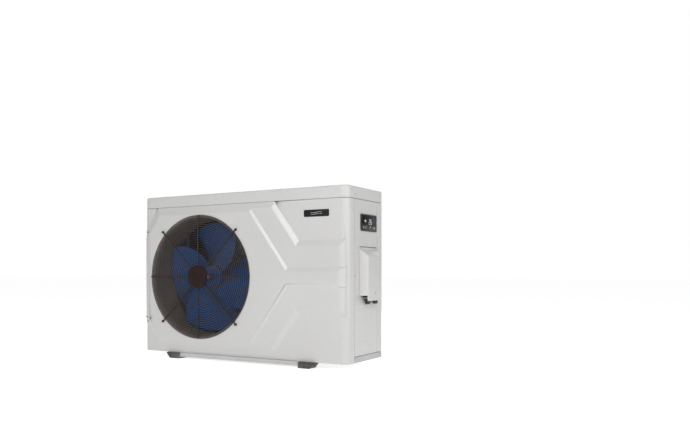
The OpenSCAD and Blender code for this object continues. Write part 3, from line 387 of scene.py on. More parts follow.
def makeFinish(name, ownLook):
    look = {**plainLook, "fleckTone": ownLook["shade"], **ownLook}
    material = bpy.data.materials.new(name)
    material.use_nodes = True
    tree = material.node_tree
    tree.nodes.clear()
    patches = useGroup(tree, "patchyTone", First=look["tone"], Second=look["shade"], Scale=look["patch"])
    grain = useGroup(tree, look["grain"], Scale=look["grainScale"])
    rub = useGroup(tree, "edgeRub", Width=look["edge"], Amount=look["rub"])
    dust = useGroup(tree, "settledDust", Amount=look["dust"], Reach=look["reach"])
    flecks = spread(tree, grain["Shade"], 0.3, 0.7, 0, look["fleck"])
    tone = blendTones(tree, flecks, patches["Tone"], look["fleckTone"])
    tone = blendTones(tree, rub["Mask"], tone, look["rubTone"])
    tone = blendTones(tree, dust["Mask"], tone, look["dustTone"])
    low, high = look["rough"]
    rough = combine(tree, "ADD", spread(tree, grain["Shade"], 0.3, 0.7, low, high),
                    combine(tree, "MULTIPLY", dust["Mask"], 0.3))
    bump = put(tree, "Bump", {"Strength": 0.4, "Distance": look["depth"],
                              "Height": grain["Height"], "Normal": rub["Rounded"]})
    shader = put(tree, "BsdfPrincipled", {
        "Base Color": tone, "Roughness": rough, "Normal": bump.outputs["Normal"],
        "Metallic": look["metal"], "Coat Weight": look["coat"], "Coat Roughness": 0.15,
        "Specular IOR Level": look["gloss"]})
    put(tree, "OutputMaterial", {"Surface": shader.outputs["BSDF"]})
    return material


# every finish by the name of its slot in the record
looks = {
    "casing_white": {
        "tone": rgb(0.475, 0.472, 0.463), "shade": rgb(0.455, 0.452, 0.445), "patch": 5.0,
        "grain": "peelGrain", "grainScale": 300.0, "fleck": 0.35, "fleckTone": rgb(0.43, 0.43, 0.425),
        "edge": 0.0022, "rub": 0.25, "rubTone": rgb(0.62, 0.62, 0.61), "rough": (0.22, 0.31),
        "depth": 0.00025, "dust": 0.10, "reach": 0.09},
    "rail_grey": {
        "tone": rgb(0.42, 0.425, 0.43), "shade": rgb(0.37, 0.375, 0.38), "patch": 7.0,
        "grain": "peelGrain", "grainScale": 420.0, "edge": 0.001, "rub": 0.5,
        "rubTone": rgb(0.55, 0.55, 0.55), "rough": (0.42, 0.58), "depth": 0.0002, "dust": 0.3},
    "rubber_black": {
        "tone": rgb(0.018, 0.018, 0.018), "shade": rgb(0.03, 0.029, 0.028), "patch": 22.0,
        "grain": "sparkGrain", "grainScale": 500.0, "edge": 0.0015, "rub": 0.45,
        "rubTone": rgb(0.09, 0.088, 0.085), "rough": (0.62, 0.82), "depth": 0.0004, "dust": 0.35,
        "reach": 0.03},
    # the real duct is light grey sheet like the casing; this dark brown tone is painted shade for its
    # inside, in shadow behind the grille wires
    "duct_grey": {
        "tone": rgb(0.11, 0.092, 0.082), "shade": rgb(0.085, 0.07, 0.062), "patch": 8.0,
        "grain": "peelGrain", "grainScale": 380.0, "edge": 0.0015, "rub": 0.3,
        "rubTone": rgb(0.2, 0.18, 0.16), "rough": (0.4, 0.55), "depth": 0.0002, "dust": 0.2},
    "grille_dark": {
        "tone": rgb(0.022, 0.014, 0.012), "shade": rgb(0.014, 0.010, 0.009), "patch": 12.0,
        "grain": "peelGrain", "grainScale": 900.0, "edge": 0.0006, "rub": 0.25,
        "rubTone": rgb(0.07, 0.045, 0.035), "rough": (0.4, 0.55), "depth": 0.0001, "dust": 0.06,
        "gloss": 0.35},
    # the rings are the same dark wire as the spokes; this lighter tone and strong light edge rub are
    # painted glints, on top of their real gloss
    "ring_wire": {
        "tone": rgb(0.07, 0.055, 0.048), "shade": rgb(0.035, 0.027, 0.023), "patch": 9.0,
        "grain": "peelGrain", "grainScale": 900.0, "edge": 0.0005, "rub": 0.5,
        "rubTone": rgb(0.16, 0.13, 0.115), "rough": (0.24, 0.38), "depth": 0.0001, "dust": 0.04,
        "gloss": 0.4},
    "disc_brown": {
        "tone": rgb(0.021, 0.009, 0.008), "shade": rgb(0.014, 0.007, 0.006), "patch": 30.0,
        "grain": "sparkGrain", "grainScale": 1100.0, "edge": 0.0015, "rub": 0.3,
        "rubTone": rgb(0.08, 0.035, 0.028), "rough": (0.34, 0.46), "depth": 0.0001, "dust": 0.02,
        "gloss": 0.12},
    "zinc_steel": {
        "tone": rgb(0.56, 0.57, 0.58), "shade": rgb(0.44, 0.44, 0.43), "patch": 60.0,
        "grain": "drawnLines", "grainScale": 1500.0, "edge": 0.0005, "rub": 0.4,
        "rubTone": rgb(0.75, 0.75, 0.75), "rough": (0.28, 0.42), "depth": 0.00005, "dust": 0.15,
        "metal": 1.0},
    "fin_blue": {
        "tone": rgb(0.035, 0.10, 0.27), "shade": rgb(0.025, 0.075, 0.22), "patch": 10.0,
        "grain": "drawnLines", "grainScale": 700.0, "edge": 0.0003, "rub": 0.5,
        "rubTone": rgb(0.35, 0.42, 0.55), "rough": (0.26, 0.4), "depth": 0.0001, "dust": 0.15,
        "metal": 0.6},
    "copper": {
        "tone": rgb(0.62, 0.27, 0.15), "shade": rgb(0.38, 0.16, 0.09), "patch": 18.0,
        "grain": "drawnLines", "grainScale": 900.0, "fleck": 0.3, "fleckTone": rgb(0.30, 0.15, 0.10),
        "edge": 0.0006, "rub": 0.3, "rubTone": rgb(0.8, 0.42, 0.26), "rough": (0.2, 0.42),
        "depth": 0.00006, "dust": 0.1, "metal": 1.0},
    "galvanised": {
        "tone": rgb(0.50, 0.52, 0.54), "shade": rgb(0.40, 0.42, 0.44), "patch": 9.0,
        "grain": "spangle", "grainScale": 110.0, "fleck": 0.5, "fleckTone": rgb(0.62, 0.64, 0.66),
        "edge": 0.0006, "rub": 0.3, "rubTone": rgb(0.7, 0.71, 0.72), "rough": (0.3, 0.5),
        "depth": 0.00008, "dust": 0.2, "metal": 0.9},
    "motor_alloy": {
        "tone": rgb(0.43, 0.44, 0.45), "shade": rgb(0.34, 0.35, 0.36), "patch": 26.0,
        "grain": "sparkGrain", "grainScale": 260.0, "edge": 0.001, "rub": 0.4,
        "rubTone": rgb(0.6, 0.6, 0.6), "rough": (0.42, 0.6), "depth": 0.0004, "dust": 0.25, "metal": 0.8},
    "fan_blue": {
        "tone": rgb(0.004, 0.05, 0.17), "shade": rgb(0.003, 0.038, 0.135), "patch": 9.0,
        "grain": "sparkGrain", "grainScale": 700.0, "fleck": 0.2, "fleckTone": rgb(0.007, 0.066, 0.22),
        "edge": 0.0012, "rub": 0.35, "rubTone": rgb(0.025, 0.10, 0.27), "rough": (0.3, 0.42),
        "depth": 0.0001, "dust": 0.03, "dustTone": rgb(0.08, 0.11, 0.16), "gloss": 0.12},
    "compressor_black": {
        "tone": rgb(0.02, 0.021, 0.022), "shade": rgb(0.032, 0.032, 0.033), "patch": 14.0,
        "grain": "peelGrain", "grainScale": 240.0, "edge": 0.0015, "rub": 0.4,
        "rubTone": rgb(0.12, 0.12, 0.12), "rough": (0.24, 0.4), "depth": 0.0004, "dust": 0.3, "coat": 0.3},
    "vessel_grey": {
        "tone": rgb(0.30, 0.31, 0.33), "shade": rgb(0.26, 0.27, 0.29), "patch": 8.0,
        "grain": "sparkGrain", "grainScale": 600.0, "edge": 0.001, "rub": 0.3,
        "rubTone": rgb(0.42, 0.43, 0.44), "rough": (0.34, 0.46), "depth": 0.0002, "dust": 0.2},
    "titanium": {
        "tone": rgb(0.50, 0.49, 0.47), "shade": rgb(0.38, 0.39, 0.44), "patch": 20.0,
        "grain": "drawnLines", "grainScale": 900.0, "edge": 0.0005, "rub": 0.2,
        "rubTone": rgb(0.7, 0.69, 0.66), "rough": (0.25, 0.38), "depth": 0.00005, "dust": 0.05,
        "metal": 1.0},
    "union_grey": {
        "tone": rgb(0.075, 0.078, 0.084), "shade": rgb(0.06, 0.063, 0.068), "patch": 16.0,
        "grain": "sparkGrain", "grainScale": 650.0, "edge": 0.0014, "rub": 0.4,
        "rubTone": rgb(0.17, 0.175, 0.18), "rough": (0.36, 0.5), "depth": 0.0002, "dust": 0.25},
    "black_plastic": {
        "tone": rgb(0.02, 0.02, 0.021), "shade": rgb(0.028, 0.028, 0.029), "patch": 24.0,
        "grain": "sparkGrain", "grainScale": 800.0, "edge": 0.0008, "rub": 0.4,
        "rubTone": rgb(0.09, 0.09, 0.09), "rough": (0.38, 0.52), "depth": 0.00015, "dust": 0.15},
    "valve_brass": {
        "tone": rgb(0.62, 0.43, 0.17), "shade": rgb(0.42, 0.28, 0.11), "patch": 25.0,
        "grain": "drawnLines", "grainScale": 1100.0, "edge": 0.0006, "rub": 0.4,
        "rubTone": rgb(0.8, 0.62, 0.32), "rough": (0.24, 0.4), "depth": 0.00006, "dust": 0.1,
        "metal": 1.0},
    "board_green": {
        "tone": rgb(0.02, 0.13, 0.05), "shade": rgb(0.015, 0.09, 0.04), "patch": 60.0,
        "grain": "spangle", "grainScale": 500.0, "fleck": 0.3, "fleckTone": rgb(0.06, 0.2, 0.09),
        "edge": 0.0005, "rub": 0.2, "rubTone": rgb(0.4, 0.42, 0.3), "rough": (0.3, 0.45),
        "depth": 0.0001, "dust": 0.1, "coat": 0.3},
    "ivory_plastic": {
        "tone": rgb(0.62, 0.57, 0.44), "shade": rgb(0.56, 0.50, 0.37), "patch": 30.0,
        "grain": "sparkGrain", "grainScale": 900.0, "edge": 0.0006, "rub": 0.2,
        "rubTone": rgb(0.74, 0.7, 0.6), "rough": (0.34, 0.46), "depth": 0.0001, "dust": 0.15},
    "display_black": {
        "tone": rgb(0.006, 0.006, 0.007), "shade": rgb(0.010, 0.010, 0.011), "patch": 20.0,
        "grain": "sparkGrain", "grainScale": 1400.0, "edge": 0.0006, "rub": 0.2,
        "rubTone": rgb(0.03, 0.03, 0.03), "rough": (0.08, 0.15), "depth": 0.00002, "dust": 0.02,
        "gloss": 0.1},
    "plate_black": {
        "tone": rgb(0.010, 0.010, 0.010), "shade": rgb(0.016, 0.016, 0.016), "patch": 40.0,
        "grain": "sparkGrain", "grainScale": 1200.0, "edge": 0.0006, "rub": 0.3,
        "rubTone": rgb(0.04, 0.04, 0.04), "rough": (0.3, 0.42), "depth": 0.00005, "dust": 0.02,
        "gloss": 0.1},
    "display_light": {
        "tone": rgb(0.80, 0.84, 0.88), "shade": rgb(0.62, 0.68, 0.74), "patch": 90.0,
        "grain": "sparkGrain", "grainScale": 1500.0, "edge": 0.0003, "rub": 0.0,
        "rubTone": rgb(0.8, 0.8, 0.8), "rough": (0.3, 0.4), "depth": 0.00001, "dust": 0.0},
}
finishes = {name: makeFinish(name + "_finish", look) for name, look in looks.items()}
for node, piece in nodes.items():
    slotName = piece.data.materials[0].name.split(".")[0]
    for slot in piece.material_slots:
        slot.material = finishes[slotName]
print("finishes on the carried-over nodes")


def finishPiece(piece, slotName, body, *replaced, finish=None):
    piece.data.materials.clear()
    piece.data.materials.append(finishes[finish or slotName])
    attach(piece, body)
    if replaced:
        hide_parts(*replaced)
    return piece


camera = {"at": (1.545, -2.300, 0.332), "turn": 31.76, "lens": 38.06, "shift": (0.087, 0.0826)}
bpy.ops.object.camera_add(location=camera["at"],
                          rotation=(math.radians(90), 0, math.radians(camera["turn"])))
shot = bpy.context.active_object
shot.name = "studioCamera"
shot.data.lens = camera["lens"]
shot.data.shift_x, shot.data.shift_y = camera["shift"]
bpy.context.scene.camera = shot

# the floor glows a little, so that it runs into the white behind it
studio = {"floorSize": 60, "floorTone": rgb(0.9, 0.9, 0.9), "floorRough": 0.6, "floorGlow": 0.60,
          "white": rgb(1, 1, 1), "worldLight": 0.42, "worldSeen": 1.0}
bpy.ops.mesh.primitive_plane_add(size=studio["floorSize"], location=(0, 0, cadBox[0].z))
floor = bpy.context.active_object
floor.name = "studioFloor"
floorFinish = bpy.data.materials.new("floor_finish")
floorFinish.use_nodes = True
floorShader = floorFinish.node_tree.nodes["Principled BSDF"]
floorShader.inputs["Base Color"].default_value = studio["floorTone"]
floorShader.inputs["Roughness"].default_value = studio["floorRough"]
floorShader.inputs["Emission Color"].default_value = studio["white"]
floorShader.inputs["Emission Strength"].default_value = studio["floorGlow"]
floor.data.materials.append(floorFinish)

world = bpy.data.worlds.new("studioWorld")
bpy.context.scene.world = world
world.use_nodes = True
sky = world.node_tree
skyLight = sky.nodes["Background"]
skyLight.inputs["Strength"].default_value = studio["worldLight"]
skyLight.inputs["Color"].default_value = studio["white"]
skySeen = put(sky, "Background", {"Color": studio["white"], "Strength": studio["worldSeen"]})
skyMix = put(sky, "MixShader", {0: put(sky, "LightPath").outputs["Is Camera Ray"]})
sky.links.new(skyLight.outputs[0], skyMix.inputs[1])
sky.links.new(skySeen.outputs[0], skyMix.inputs[2])
sky.links.new(skyMix.outputs[0], sky.nodes["World Output"].inputs["Surface"])
bpy.context.scene.view_settings.view_transform = "Standard"

lamps = {
    "keyLight": {"at": (2.3, -2.0, 2.0), "size": 1.1, "power": 42},
    "frontLight": {"at": (0.05, -3.0, 1.75), "size": 0.9, "power": 25},
    "sideLight": {"at": (3.0, -0.7, 1.3), "size": 1.6, "power": 13},
    "backLight": {"at": (-0.8, 2.8, 2.0), "size": 2.4, "power": 24},
}
aim = (cadBox[0] + cadBox[1]) / 2
for name, lamp in lamps.items():
    clearSelection()
    bpy.ops.object.light_add(type="AREA", location=lamp["at"])
    light = bpy.context.active_object
    light.name = name
    light.data.size = lamp["size"]
    light.data.energy = lamp["power"]
    light.rotation_euler = (aim - Vector(lamp["at"])).to_track_quat("-Z", "Y").to_euler()
print("camera, floor and light placed")


topLow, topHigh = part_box("top_cover")
top = {"cornerRadius": 0.025, "edge": 0.005, "sheet": 0.0012, "rim": 0.012, "rimSlope": 0.006,
       "drop": 0.002, "cornerSteps": 10, "edgeSteps": 5, "leastTurn": 0.5, "smooth": 25}


def makeTopCover():
    cover = block("topCover", topLow, topHigh)
    edit(cover, "EDGE")
    pick(cover, "edges", lambda edge: upright(edge) and middle(edge).y < 0)
    bpy.ops.mesh.bevel(offset=top["cornerRadius"], segments=top["cornerSteps"], affect="EDGES")
    pick(cover, "edges", lambda edge: middle(edge).z > topHigh.z - near and len(edge.link_faces) == 2
         and abs(edge.link_faces[0].normal.z - edge.link_faces[1].normal.z) > top["leastTurn"])
    bpy.ops.mesh.bevel(offset=top["edge"], segments=top["edgeSteps"], affect="EDGES")
    bpy.ops.mesh.select_mode(type="FACE")
    pick(cover, "faces", lambda face: face.normal.z > square)
    bpy.ops.mesh.inset(thickness=top["rim"])
    bpy.ops.mesh.inset(thickness=top["rimSlope"])
    bpy.ops.transform.translate(value=(0, 0, -top["drop"]))
    pick(cover, "faces", lambda face: face.normal.z < -square)
    bpy.ops.mesh.delete(type="FACE")
    done()
    modify(cover, "SOLIDIFY", thickness=top["sheet"], offset=-1)
    return smooth(cover, top["smooth"])


finishPiece(makeTopCover(), "casing_white", "root", "top_cover")

front = {"edge": 0.0018, "sheet": 0.0012, "wrapEdge": 0.4485, "leastFront": 0.02, "leastSide": 0.4,
         "edgeSteps": 3, "edgeAngle": 12, "smooth": 20}


def makeFrontPanel():
    # the outer skin of the panel, its pressed edges rounded, then given its thickness again
    panel = copyOf("frontPanel", "front_panel")
    edit(panel)

    def isSkin(face):
        centre = face.calc_center_median()
        if face.normal.y < -front["leastFront"]:
            return True
        return abs(centre.x) > front["wrapEdge"] and face.normal.x * centre.x > front["leastSide"]
    pick(panel, "faces", lambda face: not isSkin(face))
    bpy.ops.mesh.delete(type="FACE")
    done()
    soften(panel, front["edge"], front["edgeSteps"], front["edgeAngle"], clamp=False)
    modify(panel, "SOLIDIFY", thickness=front["sheet"], offset=-1)
    return smooth(panel, front["smooth"])


finishPiece(makeFrontPanel(), "casing_white", "root", "front_panel")
print("top cover and front panel made")


# parts of a head's radius or height
screwHead = {"crown": 0.55, "arm": 0.55, "slot": 0.13, "floor": 0.45, "sides": 20, "steps": 3,
             "smooth": 35}


def makeScrewHead(name, radius, height):
    # a pan head with a cross recess, at the origin, facing up Z
    head = rod(name, (0, 0, 0), (0, 0, height), radius, screwHead["sides"])
    edit(head, "EDGE")
    pick(head, "edges", lambda edge: middle(edge).z > height - near)
    bpy.ops.mesh.bevel(offset=height * screwHead["crown"], segments=screwHead["steps"], affect="EDGES")
    done()
    arm, slot, deep = radius * screwHead["arm"], radius * screwHead["slot"], height * screwHead["floor"]
    cut(head, block(name + "SlotA", (-arm, -slot, deep), (arm, slot, height * 2)))
    cut(head, block(name + "SlotB", (-slot, -arm, deep), (slot, arm, height * 2)))
    return smooth(head, screwHead["smooth"])


def screwSet(name, size, places):
    # one copy of a screw head at each (point, direction)
    pattern = makeScrewHead(name + "Head", size["radius"], size["height"])
    heads = []
    for index, (at, direction) in enumerate(places):
        heads.append(place(twin(pattern, name + str(index)), at, direction))
    bpy.data.objects.remove(pattern)
    return join(name, heads)


sideScrew = {"radius": 0.0034, "height": 0.0016, "y": -0.080, "heights": (0.036, 0.316, 0.5926)}
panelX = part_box("right_side_panel")[1].x
sidePlaces = [((side * panelX, sideScrew["y"], z), (side, 0, 0))
              for side in (-1, 1) for z in sideScrew["heights"]]
panelScrews = screwSet("panelScrews", sideScrew, sidePlaces)
finishPiece(panelScrews, "zinc_steel", "root", "panel_screws")

grilleLow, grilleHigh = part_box("fan_grille")
discLow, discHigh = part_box("grille_disc")
fanX, fanZ = (discLow.x + discHigh.x) / 2, (discLow.z + discHigh.z) / 2
grille = {"rings": 24, "ringWire": 0.0012, "innerRing": 0.040, "outerRing": 0.2308,
          "spokeWire": 0.0025, "spoke": 0.231, "longSpoke": 0.243, "spokeSides": 12,
          "eye": 0.0044, "eyeEdge": 0.001, "eyeSides": 24, "post": 0.0036, "postSides": 20,
          "spokeAngles": (0, 45, 90, 135), "eyeAngles": (45, 135, 225, 315), "smooth": 40}


def aroundFan(degrees, radius, y):
    angle = math.radians(degrees)
    return Vector((fanX + radius * math.cos(angle), y, fanZ + radius * math.sin(angle)))


def makeRings():
    ringY = grilleHigh.y - grille["ringWire"]
    step = (grille["outerRing"] - grille["innerRing"]) / (grille["rings"] - 1)
    wires = [ring("wire" + str(index), (fanX, ringY, fanZ), (0, 1, 0),
                  grille["innerRing"] + index * step, grille["ringWire"])
             for index in range(grille["rings"])]
    return smooth(join("grilleRings", wires), grille["smooth"])


def makeSpokes():
    spokeY = grilleLow.y + grille["spokeWire"]
    wires = []
    for degrees in grille["spokeAngles"]:
        reach = grille["longSpoke"] if degrees % 90 else grille["spoke"]
        wires.append(rod("spoke" + str(degrees), aroundFan(degrees, -reach, spokeY),
                         aroundFan(degrees, reach, spokeY), grille["spokeWire"], grille["spokeSides"]))
    for degrees in grille["eyeAngles"]:
        spot = aroundFan(degrees, grille["longSpoke"], 0)
        eye = rod("eye" + str(degrees), (spot.x, grilleLow.y, spot.z),
                  (spot.x, spokeY + grille["spokeWire"], spot.z), grille["eye"],
                  grille["eyeSides"])
        wires.append(soften(eye, grille["eyeEdge"], 2))
        wires.append(rod("post" + str(degrees), (spot.x, spokeY, spot.z),
                         (spot.x, grilleHigh.y, spot.z), grille["post"], grille["postSides"]))
    return smooth(join("grilleSpokes", wires), grille["smooth"])


# the rings wear a lighter copy of the grille wire finish, as painted glints
finishPiece(makeRings(), "grille_dark", "root", "fan_grille", finish="ring_wire")
finishPiece(makeSpokes(), "grille_dark", "root")

disc = {"rim": 0.0038, "rimSteps": 6, "groove": 0.006, "grooveSlope": 0.0006, "grooveFloor": 0.0012,
        "grooveDepth": 0.0006, "sides": 64, "smooth": 30}


def makeDisc():
    radius = (discHigh.x - discLow.x) / 2
    cap = rod("grilleDisc", (fanX, discHigh.y, fanZ), (fanX, discLow.y, fanZ), radius, disc["sides"])
    edit(cap, "EDGE")
    pick(cap, "edges", lambda edge: max(vert.co.y for vert in edge.verts) < discLow.y + near)
    bpy.ops.mesh.bevel(offset=disc["rim"], segments=disc["rimSteps"], affect="EDGES")
    bpy.ops.mesh.select_mode(type="FACE")
    pick(cap, "faces", lambda face: face.normal.y < -square)
    bpy.ops.mesh.inset(thickness=disc["groove"])
    bpy.ops.mesh.inset(thickness=disc["grooveSlope"])
    bpy.ops.transform.translate(value=(0, disc["grooveDepth"], 0))
    bpy.ops.mesh.inset(thickness=disc["grooveFloor"])
    bpy.ops.mesh.inset(thickness=disc["grooveSlope"])
    bpy.ops.transform.translate(value=(0, -disc["grooveDepth"], 0))
    done()
    return smooth(cap, disc["smooth"])


finishPiece(makeDisc(), "disc_brown", "root", "grille_disc")

grilleScrew = {"radius": 0.0036, "height": 0.002}
grillePlaces = [(aroundFan(degrees, grille["longSpoke"], grilleLow.y), (0, -1, 0))
                for degrees in grille["eyeAngles"]]
grilleScrews = screwSet("grilleScrews", grilleScrew, grillePlaces)
finishPiece(grilleScrews, "grille_dark", "root", "grille_screws")
print("fan grille made")


fan = {"smooth": 50}
blades = smooth(copyOf("fanBlades", "fan_blades"), fan["smooth"])
finishPiece(blades, "fan_blue", "fan", "fan_blades")
print("fan made")

guard = {"wire": 0.0011, "pitch": 0.026, "rise": 0.062, "sides": 8, "smooth": 60}


def makeGuard(name, node, along, outwards):
    # upright wires outside, level wires inside, in the node's own box
    low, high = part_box(node)
    wire, across = guard["wire"], "y" if along == "x" else "x"
    start, end = getattr(low, along) + wire, getattr(high, along) - wire
    inside, outside = getattr(low, across) + wire, getattr(high, across) - wire
    if outwards < 0:
        inside, outside = outside, inside
    wires = []

    def at(run, depth, z):
        return (run, depth, z) if along == "x" else (depth, run, z)
    columns = int((end - start) / guard["pitch"])
    for index in range(columns + 1):
        run = start + (end - start) * index / columns
        wires.append(rod(name + "Column" + str(index), at(run, outside, low.z), at(run, outside, high.z),
                         wire, guard["sides"]))
    rows = int((high.z - low.z) / guard["rise"])
    for index in range(rows + 1):
        z = low.z + wire + (high.z - low.z - 2 * wire) * index / rows
        wires.append(rod(name + "Row" + str(index), at(start, inside, z), at(end, inside, z),
                         wire, guard["sides"]))
    return smooth(join(name, wires), guard["smooth"])


finishPiece(makeGuard("rearGuard", "rear_guard", "x", 1), "grille_dark", "root", "rear_guard")
finishPiece(makeGuard("leftGuard", "left_guard", "y", -1), "grille_dark", "root", "left_guard")
print("guards made")

feetLow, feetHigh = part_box("rubber_feet")
foot = {"length": 0.062, "width": 0.048, "slant": 0.0176, "edge": 0.002, "tread": 0.0012,
        "treadIn": 0.004, "edgeSteps": 3, "smooth": 30}


def makeFoot(name, sideX, sideY):
    outX = feetHigh.x * sideX
    outY = feetHigh.y * sideY
    inX, inY = outX - sideX * foot["length"], outY - sideY * foot["width"]
    low = (min(outX, inX), min(outY, inY), feetLow.z)
    high = (max(outX, inX), max(outY, inY), feetHigh.z)
    pad = block(name, low, high)
    edit(pad, "EDGE")
    pick(pad, "edges", lambda edge: middle(edge).z < low[2] + near
         and abs(middle(edge).x - outX) < near)
    bpy.ops.transform.translate(value=(-sideX * foot["slant"], 0, 0))
    done()
    soften(pad, foot["edge"], foot["edgeSteps"])
    edit(pad)
    pick(pad, "faces", lambda face: abs(face.normal.y) > square)
    bpy.ops.mesh.inset(thickness=foot["treadIn"])
    bpy.ops.transform.resize(value=(1, 1 - 2 * foot["tread"] / foot["width"], 1))
    done()
    return smooth(pad, foot["smooth"])


feet = join("rubberFeet", [makeFoot("foot" + str(sideX) + str(sideY), sideX, sideY)
                           for sideX in (-1, 1) for sideY in (-1, 1)])
smooth(feet, foot["smooth"])
finishPiece(feet, "rubber_black", "root", "rubber_feet")
print("feet made")

coverLow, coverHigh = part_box("terminal_cover")
lid = {"slope": 0.017, "faceTop": 0.386, "top": 0.409, "wall": 0.0016, "edge": 0.0022, "boss": 0.005,
       "bossUp": 0.026, "gap": 0.0004, "tongueWidth": 0.130, "tongueIn": 0.004, "tongueThick": 0.0016,
       "tongueEdge": 0.0003, "overlap": 0.003, "notchPast": 0.002, "notchLip": 0.003, "notchHigh": 0.018,
       "edgeSteps": 4, "edgeAngle": 20, "bossSides": 24, "smooth": 25}


def makeTerminalCover():
    back = panelX + lid["gap"]
    shell = block("terminalCover", (back, coverLow.y, coverLow.z), (coverHigh.x, coverHigh.y, lid["top"]))
    edit(shell, "VERT")
    pick(shell, "verts", lambda vert: vert.co.x > coverHigh.x - near)
    half = (coverHigh.y - coverLow.y) / 2
    centre = (0, (coverHigh.y + coverLow.y) / 2, 0)
    bpy.ops.transform.resize(value=(1, 1 - lid["slope"] / half, 1), center_override=centre)
    pick(shell, "verts", lambda vert: vert.co.x > coverHigh.x - near and vert.co.z > lid["top"] - near)
    bpy.ops.transform.translate(value=(0, 0, lid["faceTop"] - lid["top"]))
    bpy.ops.mesh.select_mode(type="FACE")
    pick(shell, "faces", lambda face: min(face.normal.x, face.normal.z) < -square)
    bpy.ops.mesh.delete(type="FACE")
    done()
    soften(shell, lid["edge"], lid["edgeSteps"], lid["edgeAngle"])
    modify(shell, "SOLIDIFY", thickness=lid["wall"], offset=-1)
    middleY, sideways = centre[1], lid["tongueWidth"] / 2
    tongueLow = coverHigh.z - lid["tongueThick"]
    tongue = block("coverTongue", (back - lid["tongueIn"], middleY - sideways, tongueLow),
                   (back + lid["wall"], middleY + sideways, coverHigh.z))
    drop = block("coverDrop", (back, middleY - sideways, lid["top"] - lid["overlap"]),
                 (back + lid["wall"], middleY + sideways, coverHigh.z - lid["tongueThick"] / 2))
    bossZ = coverLow.z + lid["bossUp"]
    boss = rod("coverBoss", (back, middleY, bossZ), (coverHigh.x - lid["wall"] / 2, middleY, bossZ),
               lid["boss"], lid["bossSides"])
    past = Vector((1, 1, 1)) * lid["notchPast"]
    cut(shell, block("coverNotch", Vector((back, coverLow.y, coverLow.z)) - past,
                     (coverHigh.x - lid["notchLip"], coverLow.y + lid["slope"] + lid["notchLip"],
                      coverLow.z + lid["notchHigh"])))
    soften(tongue, lid["tongueEdge"], 2)
    soften(drop, lid["tongueEdge"], 2)
    return smooth(join("terminalCover", [shell, tongue, drop, boss]), lid["smooth"])


finishPiece(makeTerminalCover(), "casing_white", "cover", "terminal_cover")

coverScrewSize = {"radius": 0.0045, "height": 0.002}
coverScrewSpot = (coverHigh.x, (coverLow.y + coverHigh.y) / 2, coverLow.z + lid["bossUp"])
coverScrew = screwSet("coverScrew", coverScrewSize, [(coverScrewSpot, (1, 0, 0))])
finishPiece(coverScrew, "zinc_steel", "cover", "cover_screw")
print("terminal cover made")

bezelLow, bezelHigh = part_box("display_housing")
glassLow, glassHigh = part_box("display_glass")
# a figure: its mark, how far right and up of the glass's middle, and its height
display = {
    "corner": 0.006, "lip": 0.003, "lipSlope": 0.0004, "edge": 0.0005, "glassEdge": 0.0003,
    "bodyIn": 0.0052, "cornerSteps": 6, "glassSteps": 5,
    "relief": 0.00025, "sink": 0.0001, "barEdge": 0.3, "figureWide": 0.5, "figureLine": 0.1,
    "figures": {"first": ("2", 0.004, 0.004, 0.017), "second": ("6", 0.018, 0.004, 0.017),
                "third": ("2", 0.010, -0.0135, 0.006), "fourth": ("8", 0.016, -0.0135, 0.006)},
    "levels": 4, "levelStart": -0.036, "levelStep": 0.004, "levelUp": 0.006, "levelWide": 0.0022,
    "levelLow": 0.003, "levelRise": 0.002,
    "keys": (-0.045, -0.028, 0.036, 0.048), "keyDown": 0.016, "keyRadius": 0.0034, "keyLine": 0.00045,
    "keySink": 0.0002, "keyAround": 20, "keyAcross": 6, "edgeAngle": 35, "smooth": 30, "signSmooth": 40}


def runsAlong(edge, axis, least):
    return abs(getattr(edge.verts[0].co - edge.verts[1].co, axis)) > least


def makeBezel():
    frameBlock = block("displayFrame", (panelX, bezelLow.y, bezelLow.z), bezelHigh)
    edit(frameBlock, "EDGE")
    pick(frameBlock, "edges", lambda edge: runsAlong(edge, "x", near))
    bpy.ops.mesh.bevel(offset=display["corner"], segments=display["cornerSteps"], affect="EDGES")
    bpy.ops.mesh.select_mode(type="FACE")
    pick(frameBlock, "faces", lambda face: face.normal.x > square)
    bpy.ops.mesh.inset(thickness=display["lip"])
    bpy.ops.mesh.inset(thickness=display["lipSlope"])
    bpy.ops.transform.translate(value=(glassLow.x - bezelHigh.x, 0, 0))
    done()
    soften(frameBlock, display["edge"], 2, display["edgeAngle"])
    inset = display["bodyIn"]
    body = block("displayBody", (bezelLow.x, bezelLow.y + inset, bezelLow.z + inset),
                 (panelX, bezelHigh.y - inset, bezelHigh.z - inset))
    return smooth(join("displayFrame", [frameBlock, body]), display["smooth"])


def makeGlass():
    pane = block("displayGlass", glassLow, glassHigh)
    edit(pane, "EDGE")
    pick(pane, "edges", lambda edge: runsAlong(edge, "x", near))
    bpy.ops.mesh.bevel(offset=display["corner"] - display["lip"], segments=display["glassSteps"],
                       affect="EDGES")
    done()
    soften(pane, display["glassEdge"], 2, display["edgeAngle"])
    return smooth(pane, display["smooth"])


finishPiece(makeBezel(), "black_plastic", "root", "display_housing")
finishPiece(makeGlass(), "display_black", "root", "display_glass")

# the lit bars of a figure: top, two upper sides, middle, two lower sides, bottom
figureBars = {"2": (1, 0, 1, 1, 1, 0, 1), "6": (1, 1, 0, 1, 1, 1, 1), "8": (1, 1, 1, 1, 1, 1, 1)}
# where each bar lies, as halves of the width and the height, and whether it is level
barSpots = [(0, 1, True), (-1, 0.5, False), (1, 0.5, False), (0, 0, True),
            (-1, -0.5, False), (1, -0.5, False), (0, -1, True)]


def lightBar(name, y, z, wide, high):
    x = glassHigh.x - display["sink"]
    bar = block(name, (x, y - wide / 2, z - high / 2), (x + display["relief"], y + wide / 2, z + high / 2))
    return soften(bar, min(wide, high) * display["barEdge"], 2)


